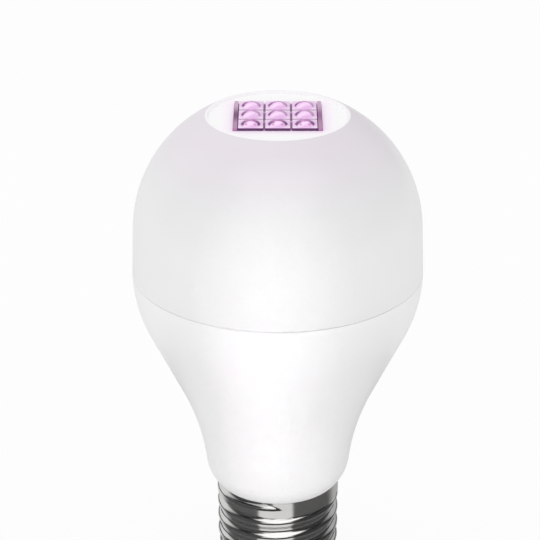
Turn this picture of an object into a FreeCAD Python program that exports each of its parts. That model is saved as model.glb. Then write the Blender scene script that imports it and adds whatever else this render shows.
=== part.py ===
import FreeCAD, Part
import math
import os
import re
import Sketcher
from FreeCAD import Placement, Rotation, Vector

# A screw-base LED lamp in the common A60 shape, with nine UV-C diodes on its flat top.
# Millimetres. The lamp's axis is Z: the tip of its centre contact is the origin, the diodes are at the top.

# Driving dimensions, one cell each
SIZES = {
    # heights and width of the whole lamp
    "cap_height": 25.0,
    "seam_height": 73.8,
    "dome_height": 33.3,
    "seam_radius": 29.8,
    "fit_gap": 0.1,
    # screw cap: rolled sheet with a standard thread
    "collar_radius": 13.05,
    "collar_height": 3.4,
    "crest_radius": 13.03,
    "thread_depth": 0.9,
    "thread_pitch": 3.629,
    "thread_foot_width": 2.9,
    "thread_flank_width": 1.5,
    "thread_crest_width": 0.6,
    "thread_shoulder": 0.63,
    "thread_start": 6.0,
    "thread_fade": 3.6,
    "shell_wall": 0.3,
    "shoulder_drop": 1.3,
    "foot_height": 4.4,
    "foot_round": 2.0,
    # contact and its insulator
    "contact_radius": 4.9,
    "contact_tip_radius": 2.2,
    "contact_flange": 0.6,
    "contact_drop": 0.7,
    "stem_radius": 1.5,
    "stem_height": 8.4,
    "insulator_face_radius": 6.0,
    "insulator_height": 7.4,
    # housing
    "housing_wall": 1.6,
    "shoulder_round": 28.0,
    "cone_angle": 25.5,
    "flare_round": 58.0,
    "waist_radius": 14.9,
    "corner_round": 8.2,
    "corner_height": 4.7,
    "floor_thickness": 3.0,
    "neck_wall": 1.2,
    "neck_bottom": 10.0,
    "guide_depth": 1.2,
    "guide_width": 3.4,
    "slot_depth": 1.0,
    # dome
    "dome_wall": 1.3,
    "dome_draft": 2.4,
    "band_height": 10.0,
    "skirt_depth": 2.8,
    "skirt_wall": 1.3,
    "skirt_gap": 0.3,
    "lip_width": 0.45,
    "disc_drop": 0.5,
    "disc_margin": 2.25,
    "disc_thickness": 1.2,
    "shelf_width": 1.2,
    "shelf_thickness": 1.0,
    # heat sink, main board and post
    "sink_drop": 4.4,
    "sink_depth": 15.4,
    "sink_wall": 1.2,
    "sink_hole_radius": 4.3,
    "main_board_thickness": 1.0,
    "main_board_margin": 0.9,
    "white_led_width": 2.8,
    "white_led_length": 3.5,
    "white_led_height": 0.7,
    "white_led_gap": 1.8,
    "white_led_count": 12,
    "screw_margin": 4.5,
    "screw_count": 3,
    "screw_radius": 1.25,
    "screw_head_radius": 2.4,
    "screw_head_height": 1.6,
    "screw_length": 6.0,
    "screw_slot": 0.8,
    "post_flange_radius": 8.0,
    "post_flange": 1.5,
    "post_radius": 5.5,
    "post_wall": 1.2,
    "post_head_radius": 8.6,
    "post_head": 1.6,
    "post_head_hole": 3.0,
    # UV module
    "uv_columns": 3,
    "uv_rows": 3,
    "uv_led_side": 4.9,
    "uv_led_height": 0.55,
    "uv_column_pitch": 5.3,
    "uv_row_pitch": 5.25,
    "uv_board_thickness": 0.8,
    "rail_width": 0.8,
    "tray_floor": 0.6,
    "tray_slot_length": 6.0,
    "tray_slot_width": 2.4,
    "lens_radius": 2.05,
    "lens_seat": 0.25,
    "lens_height": 0.75,
    # driver board and its parts
    "board_thickness": 1.2,
    "board_rise": 4.0,
    "board_headroom": 10.2,
    "board_half_width": 13.1,
    "lead_radius": 0.35,
    "lead_gap": 0.1,
    "lead_tail": 1.0,
    "can_row_drop": 5.0,
    "input_can_x": -5.8,
    "input_can_radius": 3.5,
    "input_can_length": 9.0,
    "input_can_lead": 1.75,
    "output_can_x": 5.3,
    "output_can_radius": 3.0,
    "output_can_length": 8.0,
    "output_can_lead": 1.25,
    "can_edge_round": 0.5,
    "crimp_height": 1.6,
    "crimp_half_width": 0.4,
    "crimp_depth": 0.4,
    "choke_rise": 4.3,
    "choke_radius": 4.0,
    "choke_waist_radius": 3.0,
    "choke_flange": 1.2,
    "choke_length": 9.0,
    "choke_lead": 2.5,
    "film_rise": 7.5,
    "film_lead": 4.5,
    "film_length": 10.0,
    "film_width": 5.0,
    "film_height": 8.0,
    "film_edge_round": 0.8,
    "chip_rise": 9.95,
    "chip_length": 4.9,
    "chip_width": 3.9,
    "chip_height": 1.5,
    "chip_leg_rows": 4,
    "bridge_rise": 4.85,
    "bridge_length": 4.7,
    "bridge_width": 3.8,
    "bridge_leg_rows": 2,
    "leg_pitch": 1.27,
    "leg_width": 0.45,
    "leg_reach": 1.0,
    "leg_thickness": 0.25,
    "fuse_x": -3.0,
    "fuse_rise": 7.5,
    "fuse_radius": 1.6,
    "fuse_body_radius": 1.36,
    "fuse_length": 8.0,
    "fuse_lift": 0.8,
    "fuse_end": 1.6,
    # wires
    "wire_radius": 0.6,
    "wire_bend": 2.0,
    "wire_pad": 3.0,
    "wire_slack": 3.0,
    "wire_pair_half": 1.6,
    "wire_slot_margin": 2.2,
    "led_wire_tail": 3.5,
    "live_wire_rise": 2.6,
    "neutral_wire_x": 6.0,
}

# Places that follow from the driving dimensions
PLACES = {
    "root_radius": "crest_radius - thread_depth",
    "shell_bore": "root_radius - shell_wall",
    "collar_bottom": "cap_height - collar_height",
    "foot_radius": "root_radius - foot_round",
    "foot_top": "foot_height + foot_round",
    "lamp_height": "seam_height + dome_height",
    "contact_top": "contact_drop + contact_flange",
    "neck_radius": "shell_bore - fit_gap",
    "neck_bore": "neck_radius - neck_wall",
    # housing outline: round shoulder, straight cone, hollow flare and round lower corner, all tangent
    "shoulder_centre": "seam_radius - shoulder_round",
    "cone_top_r": "shoulder_centre + shoulder_round * cos(cone_angle)",
    "cone_top_z": "seam_height - shoulder_round * sin(cone_angle)",
    "flare_centre_r": "waist_radius + flare_round",
    "cone_foot_r": "flare_centre_r - flare_round * cos(cone_angle)",
    "cone_foot_z": "cone_top_z - (cone_top_r - cone_foot_r) / tan(cone_angle)",
    "flare_centre_z": "cone_foot_z - flare_round * sin(cone_angle)",
    "corner_top_z": "cap_height + corner_height",
    "corner_rise": "corner_top_z - flare_centre_z",
    "corner_reach": "sqrt(flare_round ^ 2 - corner_rise ^ 2)",
    "corner_top_r": "flare_centre_r - corner_reach",
    "corner_centre_r": "corner_top_r - corner_round * corner_reach / flare_round",
    "corner_centre_z": "corner_top_z + corner_round * corner_rise / flare_round",
    "rim_r": "corner_centre_r + sqrt(corner_round ^ 2 - (corner_centre_z - cap_height) ^ 2)",
    "floor_z": "cap_height + floor_thickness",
    # the UV module's footprint, which the disc and the dome's opening go round
    "uv_array_x": "uv_column_pitch * (uv_columns - 1) + uv_led_side",
    "uv_array_y": "uv_row_pitch * (uv_rows - 1) + uv_led_side",
    "uv_board_x": "uv_array_x + fit_gap",
    "uv_board_y": "uv_array_y + fit_gap",
    "tray_x": "uv_board_x + 2 * fit_gap + 2 * rail_width",
    "tray_y": "uv_board_y",
    "disc_radius": "sqrt(tray_x ^ 2 + tray_y ^ 2) / 2 + disc_margin",
    "opening_radius": "disc_radius + fit_gap",
    "top_radius": "opening_radius + lip_width",
    # the dome's outline: drafted band, and the one round that leaves it smoothly and ends at the flat top
    "band_top_z": "seam_height + band_height",
    "band_top_r": "seam_radius - band_height * tan(dome_draft)",
    "top_reach": "band_top_r - top_radius",
    "top_rise": "lamp_height - band_top_z",
    "round_lean": "top_reach * cos(dome_draft) - top_rise * sin(dome_draft)",
    "dome_round": "(top_reach ^ 2 + top_rise ^ 2) / (2 * round_lean)",
    "dome_centre_r": "band_top_r - dome_round * cos(dome_draft)",
    "dome_centre_z": "band_top_z - dome_round * sin(dome_draft)",
    "disc_top": "lamp_height - disc_drop",
    "disc_bottom": "disc_top - disc_thickness",
    "shelf_radius": "opening_radius - shelf_width",
    "shelf_bottom": "disc_bottom - shelf_thickness",
    "dome_inner_round": "dome_round - dome_wall",
    "shelf_outer_r": "dome_centre_r + sqrt(dome_inner_round ^ 2 - (shelf_bottom - dome_centre_z) ^ 2)",
    "band_inner_top_r": "dome_centre_r + dome_inner_round * cos(dome_draft)",
    "band_inner_top_z": "dome_centre_z + dome_inner_round * sin(dome_draft)",
    "band_inner_foot_z": "seam_height + dome_wall",
    "band_inner_foot_r": "band_inner_top_r + (band_inner_top_z - band_inner_foot_z) * tan(dome_draft)",
    "skirt_radius": "seam_radius - housing_wall - skirt_gap",
    "skirt_bore": "skirt_radius - skirt_wall",
    "skirt_bottom": "seam_height - skirt_depth",
    # the sink hangs below the seam, and its wall lies a fit gap inside the housing's wall
    "sink_top": "seam_height - sink_drop",
    "sink_bottom": "sink_top - sink_depth",
    "sink_offset": "housing_wall + fit_gap",
    "sink_inner_offset": "sink_offset + sink_wall",
    "plate_bottom": "sink_top - sink_wall",
    "main_board_top": "sink_top + main_board_thickness",
    "main_board_radius": "skirt_radius - main_board_margin",
    # from the middle outwards: post, slot for a pair of wires, ring of diodes. The screws follow the rim,
    # turned to stand between two diodes
    "wire_slot_width": "2 * wire_pair_half + 4 * wire_radius",
    "wire_slot_depth": "6 * wire_radius",
    "wire_slot_y": "-(post_flange_radius + wire_slot_margin + wire_slot_depth / 2)",
    "white_led_circle": "-wire_slot_y + wire_slot_depth / 2 + white_led_gap + white_led_width / 2",
    "screw_circle": "main_board_radius - screw_margin",
    "screw_turn": "180 / white_led_count",
    "screw_x": "screw_circle * cos(screw_turn)",
    "screw_y": "screw_circle * sin(screw_turn)",
    # UV module
    "tray_top": "disc_top - uv_board_thickness",
    "tray_bottom": "tray_top - tray_floor",
    "uv_led_top": "disc_top + uv_led_height",
    # driver board, from the neck to below the sink
    "board_bottom": "neck_bottom + board_rise",
    "board_top": "plate_bottom - board_headroom",
    "can_row_z": "board_top - can_row_drop",
    "choke_z": "floor_z + choke_rise",
    "film_z": "floor_z + film_rise",
    "fuse_z": "board_bottom + fuse_rise",
    "chip_z": "board_bottom + chip_rise",
    "bridge_z": "board_bottom + bridge_rise",
    "board_face": "board_thickness / 2",
    "tongue_half_width": "neck_bore - guide_depth + slot_depth - fit_gap",
    "slot_width": "board_thickness + 2 * fit_gap",
    "fuse_stand": "board_face + fuse_lift + fuse_radius",
    "post_bore": "post_radius - post_wall",
    "fuse_lead": "fuse_length / 2 + fuse_radius",
}

# Standing of the two-lead parts on the driver board: x, z and half the lead spacing
LEADED_PARTS = {
    "input_capacitor": ("input_can_x", "can_row_z", "input_can_lead"),
    "output_capacitor": ("output_can_x", "can_row_z", "output_can_lead"),
    "choke": ("0", "choke_z", "choke_lead"),
    "film_capacitor": ("0", "film_z", "film_lead"),
    "fuse_resistor": ("fuse_x", "fuse_z", "fuse_lead"),
}

doc = FreeCAD.newDocument("uv_lamp")


def fill_sheet(name, cells):
    sheet = doc.addObject("Spreadsheet::Sheet", name)
    for row, (alias, content) in enumerate(cells.items(), start=1):
        sheet.set(f"A{row}", alias)
        sheet.set(f"B{row}", str(content))
        sheet.setAlias(f"B{row}", alias)
    doc.recompute()
    return sheet


def with_sheets(expression, sheets):
    """The expression with its sheet's name in front of each alias. sheets gives the aliases of each sheet."""
    def qualified(match):
        word = match.group()
        return next((f"{sheet}.{word}" for sheet, aliases in sheets.items() if word in aliases), word)
    return re.sub(r"[a-z][a-z_0-9]*", qualified, str(expression))


def full(expression):
    return with_sheets(expression, {"Sizes": SIZES, "Places": PLACES})


fill_sheet("Sizes", SIZES)
places = fill_sheet("Places", {
    alias: "=" + with_sheets(formula, {"Sizes": SIZES}) for alias, formula in PLACES.items()
})


def value(expression):
    return float(places.evalExpression(full(expression)))


def new_body(label):
    body = doc.addObject("PartDesign::Body", label)
    body.Label = label
    body.AllowCompound = True
    doc.recompute()
    return body


def origin_feature(body, role):
    """One of the body's origin planes or axes."""
    return next(feature for feature in body.Origin.OriginFeatures if feature.Role == role)


def new_sketch(body, name, role, lift=None):
    """A sketch on one of the body's origin planes, or that plane lifted along its normal."""
    sketch = body.newObject("Sketcher::SketchObject", name)
    sketch.AttachmentSupport = [(origin_feature(body, role), "")]
    sketch.MapMode = "FlatFace"
    if lift is not None:
        sketch.AttachmentOffset = Placement(Vector(0, 0, value(lift)), Rotation())
        sketch.setExpression("AttachmentOffset.Base.z", full(lift))
    return sketch


def bind(sketch, kind, *where, size):
    """A dimension of the sketch that follows its expression."""
    index = sketch.addConstraint(Sketcher.Constraint(kind, *where, value(size)))
    sketch.setExpression(f"Constraints[{index}]", full(size))


def arc_between(start, end, radius):
    """The arc that leaves start, turns left for a positive radius and right for a negative one, to end."""
    chord = end - start
    half = chord.Length / 2
    rise = abs(radius) - math.sqrt(radius * radius - half * half)
    side = Vector(chord.y, -chord.x, 0).normalize() * math.copysign(rise, radius)
    return Part.Arc(start, start + chord * 0.5 + side, end)


def draw_outline(sketch, points, rounds=None):
    """A closed outline through the points. rounds gives the radius of each side that is an arc."""
    rounds = rounds or {}
    corners = [Vector(value(x), value(y), 0) for x, y in points]
    first = sketch.GeometryCount
    ends = []
    for side, start in enumerate(corners):
        end = corners[(side + 1) % len(corners)]
        if side in rounds:
            radius = value(rounds[side])
            sketch.addGeometry(arc_between(start, end, radius))
            ends.append((1, 2) if radius > 0 else (2, 1))
        else:
            sketch.addGeometry(Part.LineSegment(start, end))
            ends.append((1, 2))
    count = len(corners)
    for side in range(count):
        following = (side + 1) % count
        here = (first + side, ends[side][1])
        there = (first + following, ends[following][0])
        sketch.addConstraint(Sketcher.Constraint("Coincident", *here, *there))
    for side, (x, y) in enumerate(points):
        bind(sketch, "DistanceX", -1, 1, first + side, ends[side][0], size=x)
        bind(sketch, "DistanceY", -1, 1, first + side, ends[side][0], size=y)
    for side, radius in rounds.items():
        bind(sketch, "Radius", first + side, size=f"abs({radius})")
    return sketch


def draw_circle(sketch, x, y, radius):
    index = sketch.addGeometry(Part.Circle(Vector(value(x), value(y), 0), Vector(0, 0, 1), value(radius)))
    bind(sketch, "DistanceX", -1, 1, index, 3, size=x)
    bind(sketch, "DistanceY", -1, 1, index, 3, size=y)
    bind(sketch, "Radius", index, size=radius)
    return sketch


def rectangle(width, depth, x="0", y="0"):
    """Corners of a rectangle about a centre."""
    left, right = f"{x} - ({width}) / 2", f"{x} + ({width}) / 2"
    near, far = f"{y} - ({depth}) / 2", f"{y} + ({depth}) / 2"
    return [(left, near), (right, near), (right, far), (left, far)]


def turn(body, kind, name, points, rounds=None):
    """A Revolution or a Groove about the lamp's axis, from an outline in radius and height."""
    sketch = new_sketch(body, name + "_outline", "XZ_Plane")
    draw_outline(sketch, points, rounds)
    feature = body.newObject("PartDesign::" + kind, name)
    feature.Profile = sketch
    feature.ReferenceAxis = (sketch, ["V_Axis"])
    feature.Angle = 360
    doc.recompute()
    return feature


def pad(body, name, sketch, length, reverse=False):
    feature = body.newObject("PartDesign::Pad", name)
    feature.Profile = sketch
    feature.Length = value(length)
    feature.setExpression("Length", full(length))
    feature.Reversed = reverse
    doc.recompute()
    return feature


def pocket(body, name, sketch, length=None, reverse=False):
    """A pocket of the given depth, or through everything."""
    before = body.Shape.Volume
    feature = body.newObject("PartDesign::Pocket", name)
    feature.Profile = sketch
    feature.Reversed = reverse
    if length is None:
        feature.Type = "ThroughAll"
        feature.Midplane = True
    else:
        feature.Length = value(length)
        feature.setExpression("Length", full(length))
    doc.recompute()
    if not body.Shape.Volume < before:
        raise ValueError(f"{body.Label}: {name} cuts nothing")
    return feature


def polar(body, name, features, count):
    pattern = body.newObject("PartDesign::PolarPattern", name)
    pattern.Originals = features
    pattern.Axis = (origin_feature(body, "Z_Axis"), [""])
    pattern.Angle = 360
    pattern.Occurrences = int(value(count))
    pattern.setExpression("Occurrences", full(count))
    body.Tip = pattern
    doc.recompute()
    return pattern


def place(part, x="0", y="0", z="0"):
    for axis, where in (("x", x), ("y", y), ("z", z)):
        part.setExpression("Placement.Base." + axis, full(where))


# Screw cap

def make_screw_shell():
    """Rolled sheet: plain collar, round-rolled thread that runs out at both ends, foot curled in."""
    body = new_body("screw_shell")
    turn(
        body, "Revolution", "blank",
        [
            ("0", "foot_height"),
            ("root_radius", "foot_height"),
            ("root_radius", "collar_bottom - shoulder_drop"),
            ("collar_radius", "collar_bottom"),
            ("collar_radius", "cap_height"),
            ("0", "cap_height"),
        ],
    )
    ridge = new_sketch(body, "thread_outline", "XZ_Plane")
    sunk = "root_radius - shell_wall / 2"
    flank = "root_radius + thread_shoulder"
    draw_outline(ridge, [
        (sunk, "thread_start - thread_foot_width / 2"),
        ("root_radius", "thread_start - thread_foot_width / 2"),
        (flank, "thread_start - thread_flank_width / 2"),
        ("crest_radius", "thread_start - thread_crest_width / 2"),
        ("crest_radius", "thread_start + thread_crest_width / 2"),
        (flank, "thread_start + thread_flank_width / 2"),
        ("root_radius", "thread_start + thread_foot_width / 2"),
        (sunk, "thread_start + thread_foot_width / 2"),
    ])
    thread = body.newObject("PartDesign::AdditiveHelix", "thread")
    thread.Profile = ridge
    thread.ReferenceAxis = (ridge, ["V_Axis"])
    thread.Mode = "pitch-height-angle"
    thread.setExpression("Pitch", full("thread_pitch"))
    thread.setExpression("Height", full("collar_bottom + thread_foot_width / 2 - thread_start"))
    doc.recompute()
    clear = "collar_radius + 1"
    below = "thread_start - thread_foot_width"
    turn(
        body, "Groove", "foot_and_fade",
        [
            ("foot_radius", "foot_height"),
            ("root_radius", "foot_top"),
            (clear, f"foot_top + thread_fade * ({clear} - root_radius) / thread_depth"),
            (clear, below),
            ("foot_radius", below),
        ],
        {0: "foot_round"},
    )
    turn(
        body, "Groove", "inside",
        [
            ("0", "foot_height - 1"),
            ("foot_radius", "foot_height - 1"),
            ("foot_radius", "foot_height + shell_wall"),
            ("shell_bore", "foot_top"),
            ("shell_bore", "collar_bottom - shoulder_drop"),
            ("collar_radius - shell_wall", "collar_bottom"),
            ("collar_radius - shell_wall", "cap_height + 1"),
            ("0", "cap_height + 1"),
        ],
        {2: "foot_round - shell_wall"},
    )
    return body


def make_cap_insulator():
    """Glass button with a sloping face, held in the shell's curled foot."""
    body = new_body("cap_insulator")
    turn(
        body, "Revolution", "button",
        [
            ("stem_radius + fit_gap", "contact_top"),
            ("insulator_face_radius", "contact_top"),
            ("foot_radius - fit_gap", "foot_height - fit_gap"),
            ("foot_radius - fit_gap", "foot_height + shell_wall + fit_gap"),
            ("shell_bore - fit_gap", "foot_top + fit_gap"),
            ("shell_bore - fit_gap", "insulator_height"),
            ("stem_radius + fit_gap", "insulator_height"),
        ],
        {3: "foot_round - shell_wall"},
    )
    return body


def make_centre_contact():
    """Pressed eyelet: flat tip, sloping flange and a stem through the insulator."""
    body = new_body("centre_contact")
    turn(
        body, "Revolution", "eyelet",
        [
            ("0", "0"),
            ("contact_tip_radius", "0"),
            ("contact_radius", "contact_drop"),
            ("contact_radius", "contact_top"),
            ("stem_radius", "contact_top"),
            ("stem_radius", "stem_height"),
            ("0", "stem_height"),
        ],
    )
    return body


# Housing and dome

def inside_flare_r(height, offset):
    """Radius of the hollow flare's surface, moved inwards by an offset, at a height."""
    return f"flare_centre_r - sqrt((flare_round + {offset}) ^ 2 - ({height} - flare_centre_z) ^ 2)"


def inside_shoulder_r(height, offset):
    """The same for the round shoulder."""
    return f"shoulder_centre + sqrt((shoulder_round - {offset}) ^ 2 - (seam_height - {height}) ^ 2)"


def cone_top(offset):
    return (
        f"shoulder_centre + (shoulder_round - {offset}) * cos(cone_angle)",
        f"seam_height - (shoulder_round - {offset}) * sin(cone_angle)",
    )


def cone_foot(offset):
    return (
        f"flare_centre_r - (flare_round + {offset}) * cos(cone_angle)",
        f"flare_centre_z + (flare_round + {offset}) * sin(cone_angle)",
    )


def make_housing():
    """Moulded white body: neck in the cap, flared cone, rim under the dome, two slotted board guides."""
    body = new_body("housing")
    turn(
        body, "Revolution", "wall",
        [
            ("neck_bore", "neck_bottom"),
            ("neck_radius", "neck_bottom"),
            ("neck_radius", "cap_height"),
            ("rim_r", "cap_height"),
            ("corner_top_r", "corner_top_z"),
            ("cone_foot_r", "cone_foot_z"),
            ("cone_top_r", "cone_top_z"),
            ("seam_radius", "seam_height"),
            ("seam_radius - housing_wall", "seam_height"),
            cone_top("housing_wall"),
            cone_foot("housing_wall"),
            (inside_flare_r("floor_z", "housing_wall"), "floor_z"),
            ("neck_bore", "floor_z"),
        ],
        {
            3: "corner_round",
            4: "-flare_round",
            6: "shoulder_round",
            8: "-(shoulder_round - housing_wall)",
            10: "flare_round + housing_wall",
        },
    )
    guide = new_sketch(body, "guide_outline", "XY_Plane", "neck_bottom")
    rib_inside = "neck_bore - guide_depth"
    rib_outside = "neck_bore + neck_wall / 2"
    draw_outline(guide, [
        (rib_inside, "-guide_width / 2"),
        (rib_outside, "-guide_width / 2"),
        (rib_outside, "guide_width / 2"),
        (rib_inside, "guide_width / 2"),
    ])
    rib = pad(body, "guide", guide, "floor_z - neck_bottom")
    polar(body, "guides", [rib], "2")
    slots = new_sketch(body, "slot_outline", "XY_Plane", "neck_bottom")
    draw_outline(slots, rectangle("2 * (neck_bore - guide_depth + slot_depth)", "slot_width"))
    pocket(body, "slots", slots, "floor_z - neck_bottom", reverse=True)
    return body


def make_dome():
    """Opal cover: drafted band, round shoulder cut flat on top, shelf for the disc, skirt in the housing."""
    body = new_body("dome")
    turn(
        body, "Revolution", "cover",
        [
            ("skirt_radius", "seam_height"),
            ("seam_radius", "seam_height"),
            ("band_top_r", "band_top_z"),
            ("top_radius", "lamp_height"),
            ("opening_radius", "lamp_height"),
            ("opening_radius", "disc_bottom"),
            ("shelf_radius", "disc_bottom"),
            ("shelf_radius", "shelf_bottom"),
            ("shelf_outer_r", "shelf_bottom"),
            ("band_inner_top_r", "band_inner_top_z"),
            ("band_inner_foot_r", "band_inner_foot_z"),
            ("skirt_bore", "seam_height"),
            ("skirt_bore", "skirt_bottom"),
            ("skirt_radius", "skirt_bottom"),
        ],
        {2: "dome_round", 8: "-dome_inner_round"},
    )
    return body


def make_top_disc():
    """White lid on the dome's shelf, with a rectangular opening for the UV module."""
    body = new_body("top_disc")
    sketch = new_sketch(body, "disc_outline", "XY_Plane", "disc_bottom")
    draw_circle(sketch, "0", "0", "disc_radius")
    draw_outline(sketch, rectangle("tray_x + 2 * fit_gap", "tray_y + 2 * fit_gap"))
    pad(body, "plate", sketch, "disc_thickness")
    return body


# Heat sink, main board and post

def make_heat_sink():
    """Aluminium cup upside down in the housing: flat plate on top, wall along the housing's inside."""
    body = new_body("heat_sink")
    cone_slope = "tan(cone_angle)"
    outer_top = cone_top("sink_offset")
    inner_top = cone_top("sink_inner_offset")
    turn(
        body, "Revolution", "cup",
        [
            ("sink_hole_radius", "plate_bottom"),
            (inside_shoulder_r("plate_bottom", "sink_inner_offset"), "plate_bottom"),
            inner_top,
            (f"{inner_top[0]} - ({inner_top[1]} - sink_bottom) * {cone_slope}", "sink_bottom"),
            (f"{outer_top[0]} - ({outer_top[1]} - sink_bottom) * {cone_slope}", "sink_bottom"),
            outer_top,
            (inside_shoulder_r("sink_top", "sink_offset"), "sink_top"),
            ("sink_hole_radius", "sink_top"),
        ],
        {1: "-(shoulder_round - sink_inner_offset)", 5: "shoulder_round - sink_offset"},
    )
    holes = new_sketch(body, "screw_hole_outline", "XY_Plane", "sink_top")
    draw_circle(holes, "screw_x", "screw_y", "screw_radius + fit_gap / 2")
    hole = pocket(body, "screw_hole", holes, "2 * sink_wall")
    polar(body, "screw_holes", [hole], "screw_count")
    wire_hole(body, "sink_top", "2 * sink_wall")
    return body


def wire_hole(body, top, depth):
    """A round-ended slot that lets the pair of wires for the white diodes through."""
    sketch = new_sketch(body, "wire_hole_outline", "XY_Plane", top)
    draw_outline(sketch, rectangle("wire_slot_width", "wire_slot_depth", y="wire_slot_y"))
    return pocket(body, "wire_hole", sketch, depth)


def make_main_board():
    """Aluminium-core board on the cup, with a hole for the post's flange."""
    body = new_body("main_board")
    sketch = new_sketch(body, "board_outline", "XY_Plane", "sink_top")
    draw_circle(sketch, "0", "0", "main_board_radius")
    draw_circle(sketch, "0", "0", "post_flange_radius + fit_gap")
    pad(body, "plate", sketch, "main_board_thickness")
    holes = new_sketch(body, "screw_hole_outline", "XY_Plane", "main_board_top")
    draw_circle(holes, "screw_x", "screw_y", "screw_radius + fit_gap / 2")
    hole = pocket(body, "screw_hole", holes, "2 * main_board_thickness")
    polar(body, "screw_holes", [hole], "screw_count")
    wire_hole(body, "main_board_top", "2 * main_board_thickness")
    return body


def make_white_leds():
    """Ring of white diodes, separate solids in one node."""
    body = new_body("white_leds")
    sketch = new_sketch(body, "diode_outline", "XY_Plane", "main_board_top")
    draw_outline(sketch, rectangle("white_led_width", "white_led_length", x="white_led_circle"))
    diode = pad(body, "diode", sketch, "white_led_height")
    polar(body, "ring", [diode], "white_led_count")
    return body


def make_board_screws():
    """Three pan-head screws through board and cup, separate solids in one node."""
    body = new_body("board_screws")
    head_sketch = new_sketch(body, "head_outline", "XY_Plane", "main_board_top")
    draw_circle(head_sketch, "screw_x", "screw_y", "screw_head_radius")
    head = pad(body, "head", head_sketch, "screw_head_height")
    shank_sketch = new_sketch(body, "shank_outline", "XY_Plane", "main_board_top")
    draw_circle(shank_sketch, "screw_x", "screw_y", "screw_radius")
    shank = pad(body, "shank", shank_sketch, "screw_length", reverse=True)
    slot_sketch = new_sketch(body, "slot_outline", "XY_Plane", "main_board_top + screw_head_height")
    draw_outline(slot_sketch, rectangle("screw_slot", "3 * screw_head_radius", x="screw_x", y="screw_y"))
    slot = pocket(body, "slot", slot_sketch, "screw_head_height / 2")
    polar(body, "screws", [head, shank, slot], "screw_count")
    return body


def make_uv_post():
    """Turned aluminium tube that stands on the cup and carries the UV tray on its head."""
    body = new_body("uv_post")
    head_bottom = "tray_bottom - post_head"
    turn(
        body, "Revolution", "tube",
        [
            ("post_bore", "sink_top"),
            ("post_flange_radius", "sink_top"),
            ("post_flange_radius", "sink_top + post_flange"),
            ("post_radius", "sink_top + post_flange"),
            ("post_radius", head_bottom),
            ("post_head_radius", head_bottom),
            ("post_head_radius", "tray_bottom"),
            ("post_head_hole", "tray_bottom"),
            ("post_head_hole", head_bottom),
            ("post_bore", head_bottom),
        ],
    )
    return body


# UV module

def make_uv_tray():
    """Carrier with a floor and a raised rail on its left and right."""
    body = new_body("uv_tray")
    floor = new_sketch(body, "floor_outline", "XY_Plane", "tray_bottom")
    draw_outline(floor, rectangle("tray_x", "tray_y"))
    pad(body, "floor", floor, "tray_floor")
    rails = new_sketch(body, "rail_outline", "XY_Plane", "tray_top")
    for side in (-1, 1):
        draw_outline(rails, rectangle("rail_width", "tray_y", x=f"{side} * (tray_x - rail_width) / 2"))
    pad(body, "rails", rails, "uv_led_top - tray_top")
    slot = new_sketch(body, "slot_outline", "XY_Plane", "tray_bottom")
    draw_outline(slot, rectangle("tray_slot_length", "tray_slot_width"))
    pocket(body, "wire_slot", slot, "tray_floor", reverse=True)
    return body


def make_uv_board():
    body = new_body("uv_board")
    sketch = new_sketch(body, "board_outline", "XY_Plane", "tray_top")
    draw_outline(sketch, rectangle("uv_board_x", "uv_board_y"))
    pad(body, "plate", sketch, "uv_board_thickness")
    return body


def make_uv_led(number, x, y):
    """Square ceramic package with a round seat for its lens."""
    body = new_body(f"uv_led_{number}")
    sketch = new_sketch(body, "package_outline", "XY_Plane")
    draw_outline(sketch, rectangle("uv_led_side", "uv_led_side"))
    pad(body, "package", sketch, "uv_led_height")
    seat = new_sketch(body, "seat_outline", "XY_Plane", "uv_led_height")
    draw_circle(seat, "0", "0", "lens_radius + fit_gap")
    pocket(body, "seat", seat, "lens_seat")
    place(body, x, y, "disc_top")
    return body


def make_uv_lens(number, x, y):
    """Low domed window in the package's seat."""
    body = new_body(f"uv_lens_{number}")
    turn(
        body, "Revolution", "window",
        [
            ("0", "0"),
            ("lens_radius", "0"),
            ("lens_radius", "lens_seat"),
            ("0", "lens_seat + lens_height"),
        ],
        {2: "(lens_radius ^ 2 + lens_height ^ 2) / (2 * lens_height)"},
    )
    place(body, x, y, "uv_led_top - lens_seat")
    return body


def make_uv_module():
    make_uv_tray()
    make_uv_board()
    rows = int(value("uv_rows"))
    columns = int(value("uv_columns"))
    for row in range(rows):
        for column in range(columns):
            number = row * columns + column + 1
            x = f"uv_column_pitch * ({column} - (uv_columns - 1) / 2)"
            y = f"uv_row_pitch * ({row} - (uv_rows - 1) / 2)"
            make_uv_led(number, x, y)
            make_uv_lens(number, x, y)


# Driver board and its parts. The board stands in the XZ plane, its front looks along -Y

def make_driver_board():
    """Board with a narrow tongue in the neck's guides and a wide part whose shoulders rest on the floor."""
    body = new_body("driver_board")
    sketch = new_sketch(body, "board_outline", "XZ_Plane", "-board_face")
    draw_outline(sketch, [
        ("-tongue_half_width", "board_bottom"),
        ("tongue_half_width", "board_bottom"),
        ("tongue_half_width", "floor_z"),
        ("board_half_width", "floor_z"),
        ("board_half_width", "board_top"),
        ("-board_half_width", "board_top"),
        ("-board_half_width", "floor_z"),
        ("-tongue_half_width", "floor_z"),
    ])
    pad(body, "plate", sketch, "board_thickness")
    holes = new_sketch(body, "lead_hole_outline", "XZ_Plane")
    for part, (x, z, spread) in LEADED_PARTS.items():
        for side in (-1, 1):
            if part == "fuse_resistor":
                draw_circle(holes, x, f"{z} + {side} * {spread}", "lead_radius + lead_gap")
            else:
                draw_circle(holes, f"{x} + {side} * {spread}", z, "lead_radius + lead_gap")
    pocket(body, "lead_holes", holes)
    return body


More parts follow.
